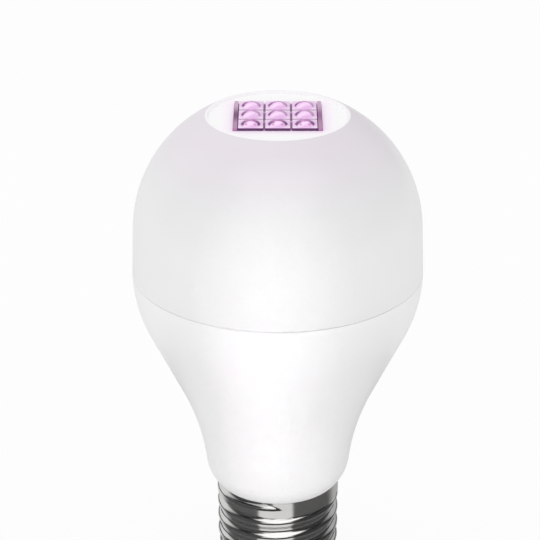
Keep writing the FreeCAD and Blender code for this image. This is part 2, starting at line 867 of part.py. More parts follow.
def add_leads(body, x, z, spread, front):
    """Two round leads from the part through the board. front is -1 or 1, the side the part stands on."""
    sketch = new_sketch(body, "lead_outline", "XZ_Plane", f"{-front} * board_face")
    for side in (-1, 1):
        draw_circle(sketch, f"{side} * {spread}", "0", "lead_radius")
    pad(body, "leads", sketch, "board_thickness + lead_tail", reverse=front < 0)


def make_can(label, radius, length, x, z, spread):
    """Electrolytic capacitor: round can standing on the board's front, with a crimp groove by its foot."""
    body = new_body(label)
    sketch = new_sketch(body, "can_outline", "XY_Plane")
    draw_outline(
        sketch,
        [
            ("0", "-board_face"),
            (radius, "-board_face"),
            (radius, "-board_face - crimp_height + crimp_half_width"),
            (f"{radius} - crimp_depth", "-board_face - crimp_height"),
            (radius, "-board_face - crimp_height - crimp_half_width"),
            (radius, f"-board_face - {length} + can_edge_round"),
            (f"{radius} - can_edge_round", f"-board_face - {length}"),
            ("0", f"-board_face - {length}"),
        ],
        {5: "-can_edge_round"},
    )
    can = body.newObject("PartDesign::Revolution", "can")
    can.Profile = sketch
    can.ReferenceAxis = (sketch, ["V_Axis"])
    can.Angle = 360
    doc.recompute()
    add_leads(body, x, z, spread, -1)
    place(body, x, "0", z)
    return body


def make_choke(x, z, spread):
    """Drum core with its winding between two flanges."""
    body = new_body("choke")
    sketch = new_sketch(body, "drum_outline", "XY_Plane")
    far = "-board_face - choke_length"
    draw_outline(sketch, [
        ("0", "-board_face"),
        ("choke_radius", "-board_face"),
        ("choke_radius", "-board_face - choke_flange"),
        ("choke_waist_radius", "-board_face - choke_flange"),
        ("choke_waist_radius", f"{far} + choke_flange"),
        ("choke_radius", f"{far} + choke_flange"),
        ("choke_radius", far),
        ("0", far),
    ])
    drum = body.newObject("PartDesign::Revolution", "drum")
    drum.Profile = sketch
    drum.ReferenceAxis = (sketch, ["V_Axis"])
    drum.Angle = 360
    doc.recompute()
    add_leads(body, x, z, spread, -1)
    place(body, x, "0", z)
    return body


def make_film_capacitor(x, z, spread):
    """Moulded box with rounded edges on the board's back."""
    body = new_body("film_capacitor")
    sketch = new_sketch(body, "box_outline", "XZ_Plane", "-board_face")
    draw_outline(sketch, rectangle("film_length", "film_width"))
    box = pad(body, "box", sketch, "film_height", reverse=True)
    long_edges = [
        f"Edge{number}" for number, edge in enumerate(box.Shape.Edges, start=1)
        if abs(edge.BoundBox.YLength - value("film_height")) < 0.01
    ]
    rounding = body.newObject("PartDesign::Fillet", "rounding")
    rounding.Base = (box, long_edges)
    rounding.Radius = value("film_edge_round")
    rounding.setExpression("Radius", full("film_edge_round"))
    doc.recompute()
    add_leads(body, x, z, spread, 1)
    place(body, x, "0", z)
    return body


def make_chip(label, length, width, rows, z):
    """Flat package on the board's back with bent legs on both sides."""
    body = new_body(label)
    sketch = new_sketch(body, "package_outline", "XZ_Plane", "-board_face - leg_thickness")
    draw_outline(sketch, rectangle(width, length))
    pad(body, "package", sketch, "chip_height", reverse=True)
    legs = new_sketch(body, "leg_outline", "XZ_Plane", "-board_face")
    for row in range(int(value(rows))):
        middle = f"leg_pitch * ({row} - ({rows} - 1) / 2)"
        draw_outline(legs, rectangle(f"{width} + 2 * leg_reach", "leg_width", y=middle))
    pad(body, "legs", legs, "2 * leg_thickness", reverse=True)
    place(body, "0", "0", z)
    return body


def wire_run(points, radius, bend):
    """A round wire along straight runs joined by tangent arcs."""
    corners = [Vector(*point) for point in points]
    edges = []
    start = corners[0]
    for before, corner, after in zip(corners, corners[1:], corners[2:]):
        arriving = (corner - before).normalize()
        leaving = (after - corner).normalize()
        turn_angle = arriving.getAngle(leaving)
        shorter = min((corner - before).Length, (after - corner).Length)
        bend_here = min(bend, 0.45 * shorter / math.tan(turn_angle / 2))
        back = bend_here * math.tan(turn_angle / 2)
        enter = corner - arriving * back
        leave = corner + leaving * back
        inwards = (leaving - arriving).normalize()
        middle = corner + inwards * (bend_here / math.cos(turn_angle / 2) - bend_here)
        edges.append(Part.LineSegment(start, enter).toShape())
        edges.append(Part.Arc(enter, middle, leave).toShape())
        start = leave
    edges.append(Part.LineSegment(start, corners[-1]).toShape())
    path = Part.Wire(edges)
    first_way = corners[1] - corners[0]
    ring = Part.Wire(Part.makeCircle(radius, corners[0], first_way))
    return path.makePipeShell([ring], True, True)


def add_shape(label, shape):
    feature = doc.addObject("Part::Feature", label)
    feature.Label = label
    feature.Shape = shape
    return feature


def make_fuse_resistor():
    """Round body along the board, on two leads that bend down into it."""
    x = value("fuse_x")
    z = value("fuse_z")
    stand = value("fuse_stand")
    reach = value("fuse_lead")
    tail = value("board_face + lead_tail")
    length = value("fuse_length")
    lead = wire_run(
        [(x, tail, z - reach), (x, -stand, z - reach), (x, -stand, z + reach), (x, tail, z + reach)],
        value("lead_radius"), value("fuse_radius") / 2,
    )
    cap = value("fuse_end")
    barrel = Part.makeCylinder(value("fuse_body_radius"), length, Vector(x, -stand, z - length / 2))
    for low in (z - length / 2, z + length / 2 - cap):
        barrel = barrel.fuse(Part.makeCylinder(value("fuse_radius"), cap, Vector(x, -stand, low)))
    return add_shape("fuse_resistor", barrel.fuse(lead))


def make_wires():
    """The six leads inside, each from pad to pad."""
    radius = value("wire_radius")
    bend = value("wire_bend")
    front = -value("board_face") - radius
    back = value("board_face") + radius
    fuse_x = value("fuse_x")
    fuse_foot = value("fuse_z - fuse_lead - lead_radius - 2 * lead_gap")
    stem_top = value("stem_height")
    pad_height = value("board_top - wire_pad")
    leaving = value("board_top + wire_slack")
    under_sink = value("plate_bottom - wire_slack")
    above_board = value("main_board_top") + radius
    neutral_x = value("neutral_wire_x")
    neutral_pad = value("board_bottom + wire_pad")
    shell_touch = value("shell_bore") - radius
    below_neck = value("neck_bottom") - radius - value("fit_gap")
    add_shape("live_wire", wire_run(
        [
            (0, 0, stem_top),
            (0, 0, stem_top + value("live_wire_rise")),
            (fuse_x, front, value("board_bottom") - radius),
            (fuse_x, front, fuse_foot),
        ],
        radius, bend,
    ))
    add_shape("neutral_wire", wire_run(
        [(neutral_x, back, neutral_pad), (neutral_x, back, below_neck), (shell_touch, back, below_neck)],
        radius, bend,
    ))
    slot_y = value("wire_slot_y")
    for colour, side in (("red", -1), ("black", 1)):
        x = side * value("wire_pair_half")
        add_shape("led_wire_" + colour, wire_run(
            [
                (x, front, pad_height),
                (x, front, leaving),
                (x, slot_y, under_sink),
                (x, slot_y, above_board),
                (x, slot_y - value("led_wire_tail"), above_board),
            ],
            radius, bend,
        ))
        add_shape("uv_wire_" + colour, wire_run(
            [(x, back, pad_height), (x, back, leaving), (x, 0, under_sink), (x, 0, value("tray_top"))],
            radius, bend,
        ))


def make_driver():
    make_driver_board()
    make_can("input_capacitor", "input_can_radius", "input_can_length", *LEADED_PARTS["input_capacitor"])
    make_can("output_capacitor", "output_can_radius", "output_can_length", *LEADED_PARTS["output_capacitor"])
    make_choke(*LEADED_PARTS["choke"])
    make_film_capacitor(*LEADED_PARTS["film_capacitor"])
    make_chip("driver_chip", "chip_length", "chip_width", "chip_leg_rows", "chip_z")
    make_chip("bridge_rectifier", "bridge_length", "bridge_width", "bridge_leg_rows", "bridge_z")
    make_fuse_resistor()


def sub_parts():
    return [item for item in doc.Objects if item.TypeId in ("PartDesign::Body", "Part::Feature")]


def check_model():
    for item in doc.Objects:
        if "Invalid" in item.State or "Error" in item.State:
            raise ValueError(f"{item.Label} failed: {item.State}")
    for part in sub_parts():
        if part.Shape.isNull() or not part.Shape.isValid() or not part.Shape.Solids:
            raise ValueError(f"{part.Label} has no valid solid")


def write_parts():
    os.makedirs("parts", exist_ok=True)
    for part in sub_parts():
        part.Shape.exportStep(os.path.join("parts", part.Label + ".step"))
        print(part.Label, len(part.Shape.Solids), round(part.Shape.Volume, 2))


make_screw_shell()
make_cap_insulator()
make_centre_contact()
make_housing()
make_dome()
make_top_disc()
make_heat_sink()
make_main_board()
make_white_leds()
make_board_screws()
make_uv_post()
make_uv_module()
make_driver()
make_wires()
doc.recompute()
check_model()
write_parts()
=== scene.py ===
# %% [markdown]
# A screw-base LED lamp with a pear-shaped body, an opal dome and nine UV-C diodes on its flat top.
# The construction comes in as a fixed frame of solids. This lesson adds what a camera sees: smooth
# turned surfaces, the rolled thread, the diodes' windows and every surface's finish.

# %% Load the frame
import math

import bmesh
import bpy
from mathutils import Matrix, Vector


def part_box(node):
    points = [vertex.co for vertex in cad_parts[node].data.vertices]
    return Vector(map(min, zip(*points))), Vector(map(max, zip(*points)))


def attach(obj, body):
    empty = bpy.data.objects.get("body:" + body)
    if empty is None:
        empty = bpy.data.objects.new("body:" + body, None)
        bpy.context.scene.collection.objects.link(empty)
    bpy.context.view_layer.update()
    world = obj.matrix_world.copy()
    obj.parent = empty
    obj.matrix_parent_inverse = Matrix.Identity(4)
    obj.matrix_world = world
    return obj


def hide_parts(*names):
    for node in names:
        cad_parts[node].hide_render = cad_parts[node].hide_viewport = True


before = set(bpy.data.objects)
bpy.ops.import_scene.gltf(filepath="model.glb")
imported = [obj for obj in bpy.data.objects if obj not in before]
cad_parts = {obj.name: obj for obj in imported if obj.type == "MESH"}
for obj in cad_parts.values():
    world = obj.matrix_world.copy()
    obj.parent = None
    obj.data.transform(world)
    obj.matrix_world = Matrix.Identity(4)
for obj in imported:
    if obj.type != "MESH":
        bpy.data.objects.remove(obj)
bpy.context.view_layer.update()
print("nodes in the frame:", len(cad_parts))

# %% [markdown]
# The lamp is drawn in metres, but its small sizes are easier to read in millimetres. The frame
# gives the places that matter: where the cap ends, where the dome meets the housing, and how wide
# both are.

# %% Places taken from the frame
MM = 0.001


def low(node):
    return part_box(node)[0]


def high(node):
    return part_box(node)[1]


CAP_TOP = high("screw_shell").z
CAP_FOOT = low("screw_shell").z
COLLAR_RADIUS = high("screw_shell").x
SEAM_HEIGHT = high("housing").z
SEAM_RADIUS = high("housing").x
LAMP_TOP = high("dome").z
DISC_TOP = high("top_disc").z
DISC_RADIUS = high("top_disc").x
TRAY_CORNER = high("uv_tray")
DIODE_TOP = high("uv_led_5").z
FIT_GAP = 0.1 * MM
print("seam at", round(SEAM_HEIGHT / MM, 1), "mm, radius", round(SEAM_RADIUS / MM, 1), "mm")

# %% [markdown]
# The photograph was taken from slightly above with a long lens. A long lens flattens the
# perspective, so the lamp's seam shows as a shallow curve. The small sideways shift puts the lamp's
# axis where the picture has it.

# %% Camera
CAMERA_PLACE = (0.0, -0.350, 0.2363)
CAMERA_PITCH = math.radians(25)
CAMERA_LENS = 125.2
CAMERA_SHIFT = (-0.0144, 0.0006)
CAMERA_NEAREST = 0.01


def add_object(name, data):
    """Puts a mesh, a camera or a lamp into the scene."""
    made = bpy.data.objects.new(name, data)
    bpy.context.scene.collection.objects.link(made)
    return made


camera_data = bpy.data.cameras.new("camera")
camera_data.lens = CAMERA_LENS
camera_data.shift_x, camera_data.shift_y = CAMERA_SHIFT
camera_data.clip_start = CAMERA_NEAREST
camera = add_object("camera", camera_data)
camera.location = CAMERA_PLACE
camera.rotation_euler = (math.pi / 2 - CAMERA_PITCH, 0, 0)
bpy.context.scene.camera = camera
bpy.context.scene.view_settings.view_transform = "Standard"
print("camera at", CAMERA_PLACE)

# %% [markdown]
# Shader maths reads best as plain expressions. This small class wraps one output of a node, and an
# operation on it adds the Math node that does it. The same class serves material, world and
# geometry trees, because a Math node is the same in all of them.

# %% Values that arithmetic can be written with
class Value:
    """One output of a node, which arithmetic works on."""

    def __init__(self, graph, socket):
        self.graph = graph
        self.socket = socket

    def math(self, operation, *others):
        return self.graph.math(operation, self, *others)

    def __add__(self, other):
        return self.graph.math("ADD", self, other)

    def __radd__(self, other):
        return self.graph.math("ADD", other, self)

    def __sub__(self, other):
        return self.graph.math("SUBTRACT", self, other)

    def __rsub__(self, other):
        return self.graph.math("SUBTRACT", other, self)

    def __mul__(self, other):
        return self.graph.math("MULTIPLY", self, other)

    def __rmul__(self, other):
        return self.graph.math("MULTIPLY", other, self)

    def __truediv__(self, other):
        return self.graph.math("DIVIDE", self, other)


# %% Graphs that make nodes
class Graph:
    """A node tree that makes its nodes from Python."""

    def __init__(self, tree):
        self.tree = tree

    def node(self, kind, settings=None, inputs=None, output=0):
        """Takes a type, its settings and its inputs by name or place, and gives an output."""
        made = self.tree.nodes.new(kind)
        for name, setting in (settings or {}).items():
            setattr(made, name, setting)
        for name, value in (inputs or {}).items():
            self.feed(made.inputs[name], value)
        return Value(self, made.outputs[output])

    def feed(self, socket, value):
        """Links a value to the socket, or sets a number or a colour of three numbers on it."""
        if isinstance(value, Value):
            self.tree.links.new(value.socket, socket)
        elif socket.type == "RGBA":
            socket.default_value = (*value, 1)
        else:
            socket.default_value = value

    def math(self, operation, *values):
        return self.node("ShaderNodeMath", {"operation": operation}, dict(enumerate(values)))

    def length(self, x, y):
        """How far (x, y) is from (0, 0)."""
        return (x * x + y * y).math("SQRT")

    def smooth(self, value, start, end):
        """0 before start, 1 after end, and a soft step between them."""
        inputs = {"Value": value, "From Min": start, "From Max": end}
        return self.node("ShaderNodeMapRange", {"interpolation_type": "SMOOTHSTEP"}, inputs)

    def mix(self, factor, first, second):
        """A colour between two colours."""
        # the node's sockets for colours come after those for numbers and vectors
        inputs = {0: factor, 6: first, 7: second}
        return self.node("ShaderNodeMix", {"data_type": "RGBA"}, inputs, output=2)


# %% [markdown]
# Every finish starts from a Principled shader. Numbers that are the same all over are set on its
# own sockets. What varies over the surface comes from the Object coordinates, so the pattern stays
# put on the piece.

# %% Finishes
class Finish(Graph):
    """A material, with the tree of nodes that paints it."""

    def __init__(self, name, colour, **constants):
        self.material = bpy.data.materials.new(name)
        self.material.use_nodes = True
        super().__init__(self.material.node_tree)
        self.shader = self.tree.nodes["Principled BSDF"]
        self.set("Base Color", colour)
        for socket, value in constants.items():
            self.set(socket.replace("_", " "), value)

    def set(self, socket, value):
        self.feed(self.shader.inputs[socket], value)

    def place(self, axis):
        """The Object coordinate along X, Y or Z, in metres."""
        whole = self.node("ShaderNodeTexCoord", output="Object")
        return self.node("ShaderNodeSeparateXYZ", inputs={0: whole}, output="XYZ".index(axis))

    def noise(self, scale):
        """A soft random value round 0.5. scale counts the blobs in a metre."""
        where = self.node("ShaderNodeTexCoord", output="Object")
        return self.node("ShaderNodeTexNoise", inputs={"Vector": where, "Scale": scale})

    def bump(self, height, distance, strength):
        inputs = {"Height": height, "Distance": distance, "Strength": strength}
        self.set("Normal", self.node("ShaderNodeBump", inputs=inputs))

    def vary(self, socket, spread, scale):
        """Lets a number wander about the value that it was set to, as a real surface does."""
        middle = self.shader.inputs[socket].default_value
        self.set(socket, middle + (self.noise(scale) - 0.5) * spread)


print("finishes are built from", Finish.__base__.__name__)

# %% [markdown]
# Bright metal shows the studio round it, and that is what makes the cap look like metal: bright
# ground in front, dark ground to its left and right, and paler ground behind. The pattern goes by
# the angle round the lamp, and only glossy rays see it.

# %% What the metal sees
WINDOW_LEFT = math.radians(-32)
WINDOW_RIGHT = math.radians(25)
SCREEN_LEFT = math.radians(-105)
SCREEN_RIGHT = math.radians(108)
WINDOW_SHADE = 0.84
SCREEN_SHADE = 0.015
FLOOR_BACK_LEFT = 0.74
FLOOR_BACK_RIGHT = 0.42
SKY_BACK_LEFT = 0.80
SKY_BACK_RIGHT = 0.48
SOFT_EDGE = math.radians(2)
BACK_EDGE = math.radians(14)


def turn_about_axis(graph, x, y):
    """Angle round the lamp: 0 in front, positive to the right."""
    return graph.math("ARCTAN2", x, y * -1)


def studio_shade(graph, turn, back_left, back_right):
    """Brightness of the studio in each direction round the lamp."""
    def step(at, soft=SOFT_EDGE):
        return graph.smooth(turn, at - soft, at + soft)

    shade = back_left + step(SCREEN_LEFT, BACK_EDGE) * (SCREEN_SHADE - back_left)
    shade = shade + step(WINDOW_LEFT) * (WINDOW_SHADE - SCREEN_SHADE)
    shade = shade + step(WINDOW_RIGHT) * (SCREEN_SHADE - WINDOW_SHADE)
    return shade + step(SCREEN_RIGHT, BACK_EDGE) * (back_right - SCREEN_SHADE)


# %% [markdown]
# The floor is plain and pale. The picture shows the lamp before pure white, so for camera, glossy
# and transmission rays most of the floor's colour is light of its own, and the rest is a plain
# surface that keeps the lamp's shadow. Only close to the cap do glossy rays see the pattern on it.

# %% Floor
FLOOR_SIZE = 6.0
FLOOR_WHITE = (0.93, 0.93, 0.93)
FLOOR_GLOW = 0.88
FAR_FLOOR = 0.9
CARD_RADIUS = 0.062
PATTERN_EDGE = 0.002


def seen_directly(graph):
    """1 for camera, glossy and transmission rays, 0 for the light that surfaces scatter."""
    rays = {name: graph.node("ShaderNodeLightPath", output=name)
            for name in ("Is Camera Ray", "Is Glossy Ray", "Is Transmission Ray")}
    seen = rays["Is Camera Ray"].math("MAXIMUM", rays["Is Glossy Ray"])
    return seen.math("MAXIMUM", rays["Is Transmission Ray"])


def floor_finish():
    finish = Finish("floor_white", FLOOR_WHITE, Roughness=0.9)
    x = finish.place("X")
    y = finish.place("Y")
    away = finish.length(x, y)
    near = finish.smooth(away, CARD_RADIUS + PATTERN_EDGE, CARD_RADIUS - PATTERN_EDGE)
    turn = turn_about_axis(finish, x, y)
    pattern = studio_shade(finish, turn, FLOOR_BACK_LEFT, FLOOR_BACK_RIGHT)
    shade = FAR_FLOOR + near * (pattern - FAR_FLOOR)
    glossy = finish.node("ShaderNodeLightPath", output="Is Glossy Ray")
    glow = finish.node("ShaderNodeEmission", inputs={"Strength": 1 - glossy * (1 - shade)})
    surface = Value(finish, finish.shader.outputs[0])
    share = seen_directly(finish) * FLOOR_GLOW
    blend = finish.node("ShaderNodeMixShader", inputs={0: share, 1: surface, 2: glow})
    finish.feed(finish.tree.nodes["Material Output"].inputs[0], blend)
    return finish


def make_floor():
    mesh = bpy.data.meshes.new("floor")
    half = FLOOR_SIZE / 2
    corners = [(-half, -half, 0), (half, -half, 0), (half, half, 0), (-half, half, 0)]
    mesh.from_pydata(corners, [], [(0, 1, 2, 3)])
    mesh.materials.append(floor_finish().material)
    add_object("floor", mesh)


make_floor()
print("floor", FLOOR_SIZE, "m wide")

# %% [markdown]
# A photographer sets black cards round shiny metal, so that its edges and grooves read dark. A tall
# card stands on each side here, and low ones in front and behind. The tall ones slope down at the
# back, so that no hard edge shows in the metal, and those on the left are grey, because the
# picture's cap is paler there. They are staging too, and only glossy rays meet them.

# %% Cards
SIDE_CARD = 0.050
FRONT_CARD = 0.030
BACK_CARD = 0.014
CARD_FOOT = 0.0005
CARD_STEPS = 12
CARD_SLOPE = math.radians(30)
# start and end angle round the lamp, and the height at each
CARDS = [
    (SCREEN_LEFT, SCREEN_LEFT + CARD_SLOPE, BACK_CARD, SIDE_CARD),
    (SCREEN_LEFT + CARD_SLOPE, WINDOW_LEFT, SIDE_CARD, SIDE_CARD),
    (WINDOW_LEFT, WINDOW_RIGHT, FRONT_CARD, FRONT_CARD),
    (WINDOW_RIGHT, SCREEN_RIGHT - CARD_SLOPE, SIDE_CARD, SIDE_CARD),
    (SCREEN_RIGHT - CARD_SLOPE, SCREEN_RIGHT, SIDE_CARD, BACK_CARD),
    (SCREEN_RIGHT, SCREEN_LEFT + 2 * math.pi, BACK_CARD, BACK_CARD),
]


def make_card(name, start, end, first_height, last_height, finish):
    """A curved upright card between two angles round the lamp."""
    corners = []
    for step in range(CARD_STEPS + 1):
        share = step / CARD_STEPS
        turn = start + (end - start) * share
        height = first_height + (last_height - first_height) * share
        x, y = CARD_RADIUS * math.sin(turn), -CARD_RADIUS * math.cos(turn)
        corners += [(x, y, CARD_FOOT), (x, y, height)]
    faces = [(2 * step, 2 * step + 2, 2 * step + 3, 2 * step + 1) for step in range(CARD_STEPS)]
    mesh = bpy.data.meshes.new(name)
    mesh.from_pydata(corners, [], faces)
    mesh.materials.append(finish.material)
    card = add_object(name, mesh)
    card.visible_camera = False
    card.visible_diffuse = False
    card.visible_transmission = False
    card.visible_shadow = False


black_card = Finish("black_card", (0.035, 0.035, 0.035), Roughness=0.9)
grey_card = Finish("grey_card", (0.08, 0.08, 0.08), Roughness=0.9)
for finish in (black_card, grey_card):
    finish.vary("Roughness", spread=0.1, scale=30)
for number, row in enumerate(CARDS, start=1):
    on_left = row[1] <= WINDOW_LEFT
    make_card(f"card_{number}", *row, grey_card if on_left else black_card)
print("cards:", len(CARDS))

# %% [markdown]
# The light is soft and even all round, as in a tent, with a wide soft box in front. A narrow soft
# beam falls down the lamp's front and draws its long highlight. The metal also sees a long lit
# panel overhead, which draws the lens-shaped glints on the thread.

# %% Light
TENT_LIGHT = 0.93
TENT_LEAN = 0.08
PANEL_LIGHT = 1.3
PANEL_HALF_WIDTH = 0.62
PANEL_NEAR_END = 0.15
PANEL_EDGE = 0.08
HORIZON_EDGE = 0.02
WHITE = (1, 1, 1)


def make_world():
    world = bpy.data.worlds.new("tent")
    world.use_nodes = True
    bpy.context.scene.world = world
    graph = Graph(world.node_tree)
    background = world.node_tree.nodes["Background"]
    way = graph.node("ShaderNodeTexCoord", output="Generated")
    x, y, z = (graph.node("ShaderNodeSeparateXYZ", inputs={0: way}, output=axis)
               for axis in range(3))
    walls = studio_shade(graph, turn_about_axis(graph, x, y), SKY_BACK_LEFT, SKY_BACK_RIGHT)
    # where the direction meets a level plane overhead, in heights of that plane
    beside = (x / z).math("ABSOLUTE")
    ahead = y / z * -1
    panel = graph.smooth(beside, PANEL_HALF_WIDTH + PANEL_EDGE, PANEL_HALF_WIDTH - PANEL_EDGE)
    panel = panel * graph.smooth(ahead, PANEL_NEAR_END - PANEL_EDGE, PANEL_NEAR_END + PANEL_EDGE)
    panel = panel * graph.smooth(z, 0.0, HORIZON_EDGE)
    reflected = walls + panel * (PANEL_LIGHT - walls)
    camera_ray = graph.node("ShaderNodeLightPath", output="Is Camera Ray")
    glossy_ray = graph.node("ShaderNodeLightPath", output="Is Glossy Ray")
    tent = TENT_LIGHT * (1 - x * TENT_LEAN)
    scattered = tent * (1 - glossy_ray) + reflected * glossy_ray
    strength = scattered * (1 - camera_ray) + camera_ray
    graph.feed(background.inputs["Strength"], strength)
    graph.feed(background.inputs["Color"], WHITE)


def add_soft_box(name, place, aim, size, spread, watts):
    data = bpy.data.lights.new(name, "AREA")
    data.shape = "RECTANGLE"
    data.size, data.size_y = size
    data.spread = spread
    data.energy = watts
    lamp = add_object(name, data)
    lamp.location = place
    lamp.rotation_euler = (Vector(aim) - Vector(place)).to_track_quat("-Z", "Y").to_euler()
    lamp.visible_glossy = False


make_world()
add_soft_box("front_box", place=(-0.03, -0.9, 0.08), aim=(0, 0, 0.05), size=(0.5, 0.15),
             spread=math.pi, watts=0.65)
add_soft_box("front_beam", place=(-0.02, -0.6, 0.066), aim=(-0.0002, 0, 0.061),
             size=(0.016, 0.063), spread=math.radians(2.2), watts=0.00094)
print("tent light", TENT_LIGHT)

# %% [markdown]
# Dome, housing and the small windows are turned forms: an outline swept once round the axis. One
# function does it. Arcs in the outline are points on a circle, close enough together to look
# smooth, and sharp corners stay sharp because only edges flatter than a limit are shaded smooth.

# %% Turning an outline into a mesh
TURN_STEPS = 160
SHARP_ANGLE = math.radians(35)
ON_AXIS = 1e-9


def arc(centre, radius, start, end, steps):
    """Points from one angle to another on a circle, angles in radians."""
    angles = [start + (end - start) * step / steps for step in range(steps + 1)]
    return [(centre[0] + radius * math.cos(angle), centre[1] + radius * math.sin(angle))
            for angle in angles]


def circle(radius, steps):
    """The points of a closed circle about the axis."""
    return [(radius * math.cos(2 * math.pi * step / steps),
             radius * math.sin(2 * math.pi * step / steps)) for step in range(steps)]


def finished_mesh(name, shape):
    """Turns the faces outwards and keeps the shape as a mesh."""
    bmesh.ops.recalc_face_normals(shape, faces=shape.faces)
    mesh = bpy.data.meshes.new(name)
    shape.to_mesh(mesh)
    shape.free()
    return mesh


def turned_mesh(name, outline, steps=TURN_STEPS):
    """A closed mesh from a closed outline of (radius, height), in order round its section."""
    shape = bmesh.new()
    rings = []
    for radius, height in outline:
        if radius < ON_AXIS:
            rings.append([shape.verts.new((0, 0, height))] * steps)
        else:
            rings.append([shape.verts.new((x, y, height)) for x, y in circle(radius, steps)])
    for ring, following in zip(rings, rings[1:] + rings[:1]):
        for step in range(steps):
            beside = (step + 1) % steps
            corners = []
            for vertex in (ring[step], ring[beside], following[beside], following[step]):
                if vertex not in corners:
                    corners.append(vertex)
            if len(corners) > 2:
                shape.faces.new(corners)
    return finished_mesh(name, shape)


def new_piece(name, mesh, finish):
    mesh.materials.clear()
    mesh.materials.append(finish.material)
    mesh.shade_smooth()
    mesh.set_sharp_from_angle(angle=SHARP_ANGLE)
    return add_object(name, mesh)


# %% [markdown]
# The housing is one smooth white moulding. Its outline is the same chain of tangent arcs as the
# solid's: a round shoulder under the seam, a straight cone, a hollow flare and a round lower
# corner. Its rim has a tiny round edge, which with the dome's own edge makes the fine line of the
# seam. The wall's inside is only roughed in, because nothing shows it.

# %% Housing outline
SHOULDER_ROUND = 28.0 * MM
CONE_ANGLE = math.radians(25.5)
FLARE_ROUND = 58.0 * MM
WAIST_RADIUS = 14.9 * MM
CORNER_ROUND = 8.2 * MM
CORNER_HEIGHT = 4.7 * MM
HOUSING_WALL = 1.6 * MM
SEAM_EDGE = 0.16 * MM
SEAM_GAP = 0.055 * MM
LIP_EDGE = 0.25 * MM
LIP_TURN = 0.02
NECK_INSET = 1.5 * MM
RIM_DEPTH = 4 * MM
NECK_RISE = 6 * MM
CORNER_STEPS = 16
CURVE_STEPS = 24
EDGE_STEPS = 5


def housing_outline():
    shoulder = (SEAM_RADIUS - SHOULDER_ROUND, SEAM_HEIGHT)
    cone_top_r = shoulder[0] + SHOULDER_ROUND * math.cos(CONE_ANGLE)
    cone_top_z = SEAM_HEIGHT - SHOULDER_ROUND * math.sin(CONE_ANGLE)
    flare_r = WAIST_RADIUS + FLARE_ROUND
    foot_r = flare_r - FLARE_ROUND * math.cos(CONE_ANGLE)
    foot_z = cone_top_z - (cone_top_r - foot_r) / math.tan(CONE_ANGLE)
    flare = (flare_r, foot_z - FLARE_ROUND * math.sin(CONE_ANGLE))
    corner_top = CAP_TOP + CORNER_HEIGHT
    lean = math.asin((corner_top - flare[1]) / FLARE_ROUND)
    corner_top_r = flare_r - FLARE_ROUND * math.cos(lean)
    corner = (corner_top_r - CORNER_ROUND * math.cos(lean),
              corner_top + CORNER_ROUND * math.sin(lean))
    lowest = -math.asin((corner[1] - CAP_TOP) / CORNER_ROUND)
    outside = arc(corner, CORNER_ROUND, lowest + LIP_TURN, -lean, CORNER_STEPS)
    outside += arc(flare, FLARE_ROUND, math.pi - lean, math.pi - CONE_ANGLE, CURVE_STEPS)
    outside += arc(shoulder, SHOULDER_ROUND, -CONE_ANGLE, -SEAM_EDGE / SHOULDER_ROUND, CURVE_STEPS)
    rim_top = SEAM_HEIGHT - SEAM_GAP / 2
    edge = (SEAM_RADIUS - SEAM_EDGE, rim_top - SEAM_EDGE)
    rim = arc(edge, SEAM_EDGE, 0, math.pi / 2, EDGE_STEPS)
    inner_r = SEAM_RADIUS - HOUSING_WALL
    neck = COLLAR_RADIUS - NECK_INSET
    lip = [(neck, CAP_TOP), (outside[0][0] - LIP_EDGE, CAP_TOP)]
    inside = [(inner_r, rim_top), (inner_r, SEAM_HEIGHT - RIM_DEPTH), (neck, CAP_TOP + NECK_RISE)]
    return lip + outside + rim + inside


# %% Housing finish and piece
white_housing = Finish("white_housing", (0.903, 0.903, 0.908), Roughness=0.46, Coat_Weight=0.05,
                       Coat_Roughness=0.3)
white_housing.vary("Roughness", spread=0.06, scale=90)
white_housing.bump(white_housing.noise(scale=900), distance=0.02 * MM, strength=0.25)
housing_mesh = turned_mesh("housing_skin", housing_outline())
housing = new_piece("housing_skin", housing_mesh, white_housing)
print("housing faces:", len(housing.data.polygons))

# %% [markdown]
# The dome is opal plastic: a drafted band, then one round that a flat cut ends at the top. Near the
# diodes its colour is painted faintly lilac, a painted glow of their light going into the plastic,
# and it is neutral below. This painted glow is a soft gradient along the lamp's axis. The narrow
# lip round the lid is painted white and glows a little, painted light that hides the shade on its
# inner wall.

# %% Dome outline
DOME_DRAFT = math.radians(2.4)
BAND_HEIGHT = 10.0 * MM
DOME_WALL = 1.3 * MM
LIP_WIDTH = 0.45 * MM
LIP_SLOPE = 0.18 * MM
TOP_EDGE = 0.12 * MM
TOP_RADIUS = DISC_RADIUS + FIT_GAP + LIP_WIDTH
OPENING_RADIUS = DISC_RADIUS + FIT_GAP / 5
LID_THICKNESS = 1.2 * MM
DOME_STEPS = 48
INSIDE_STEPS = 32


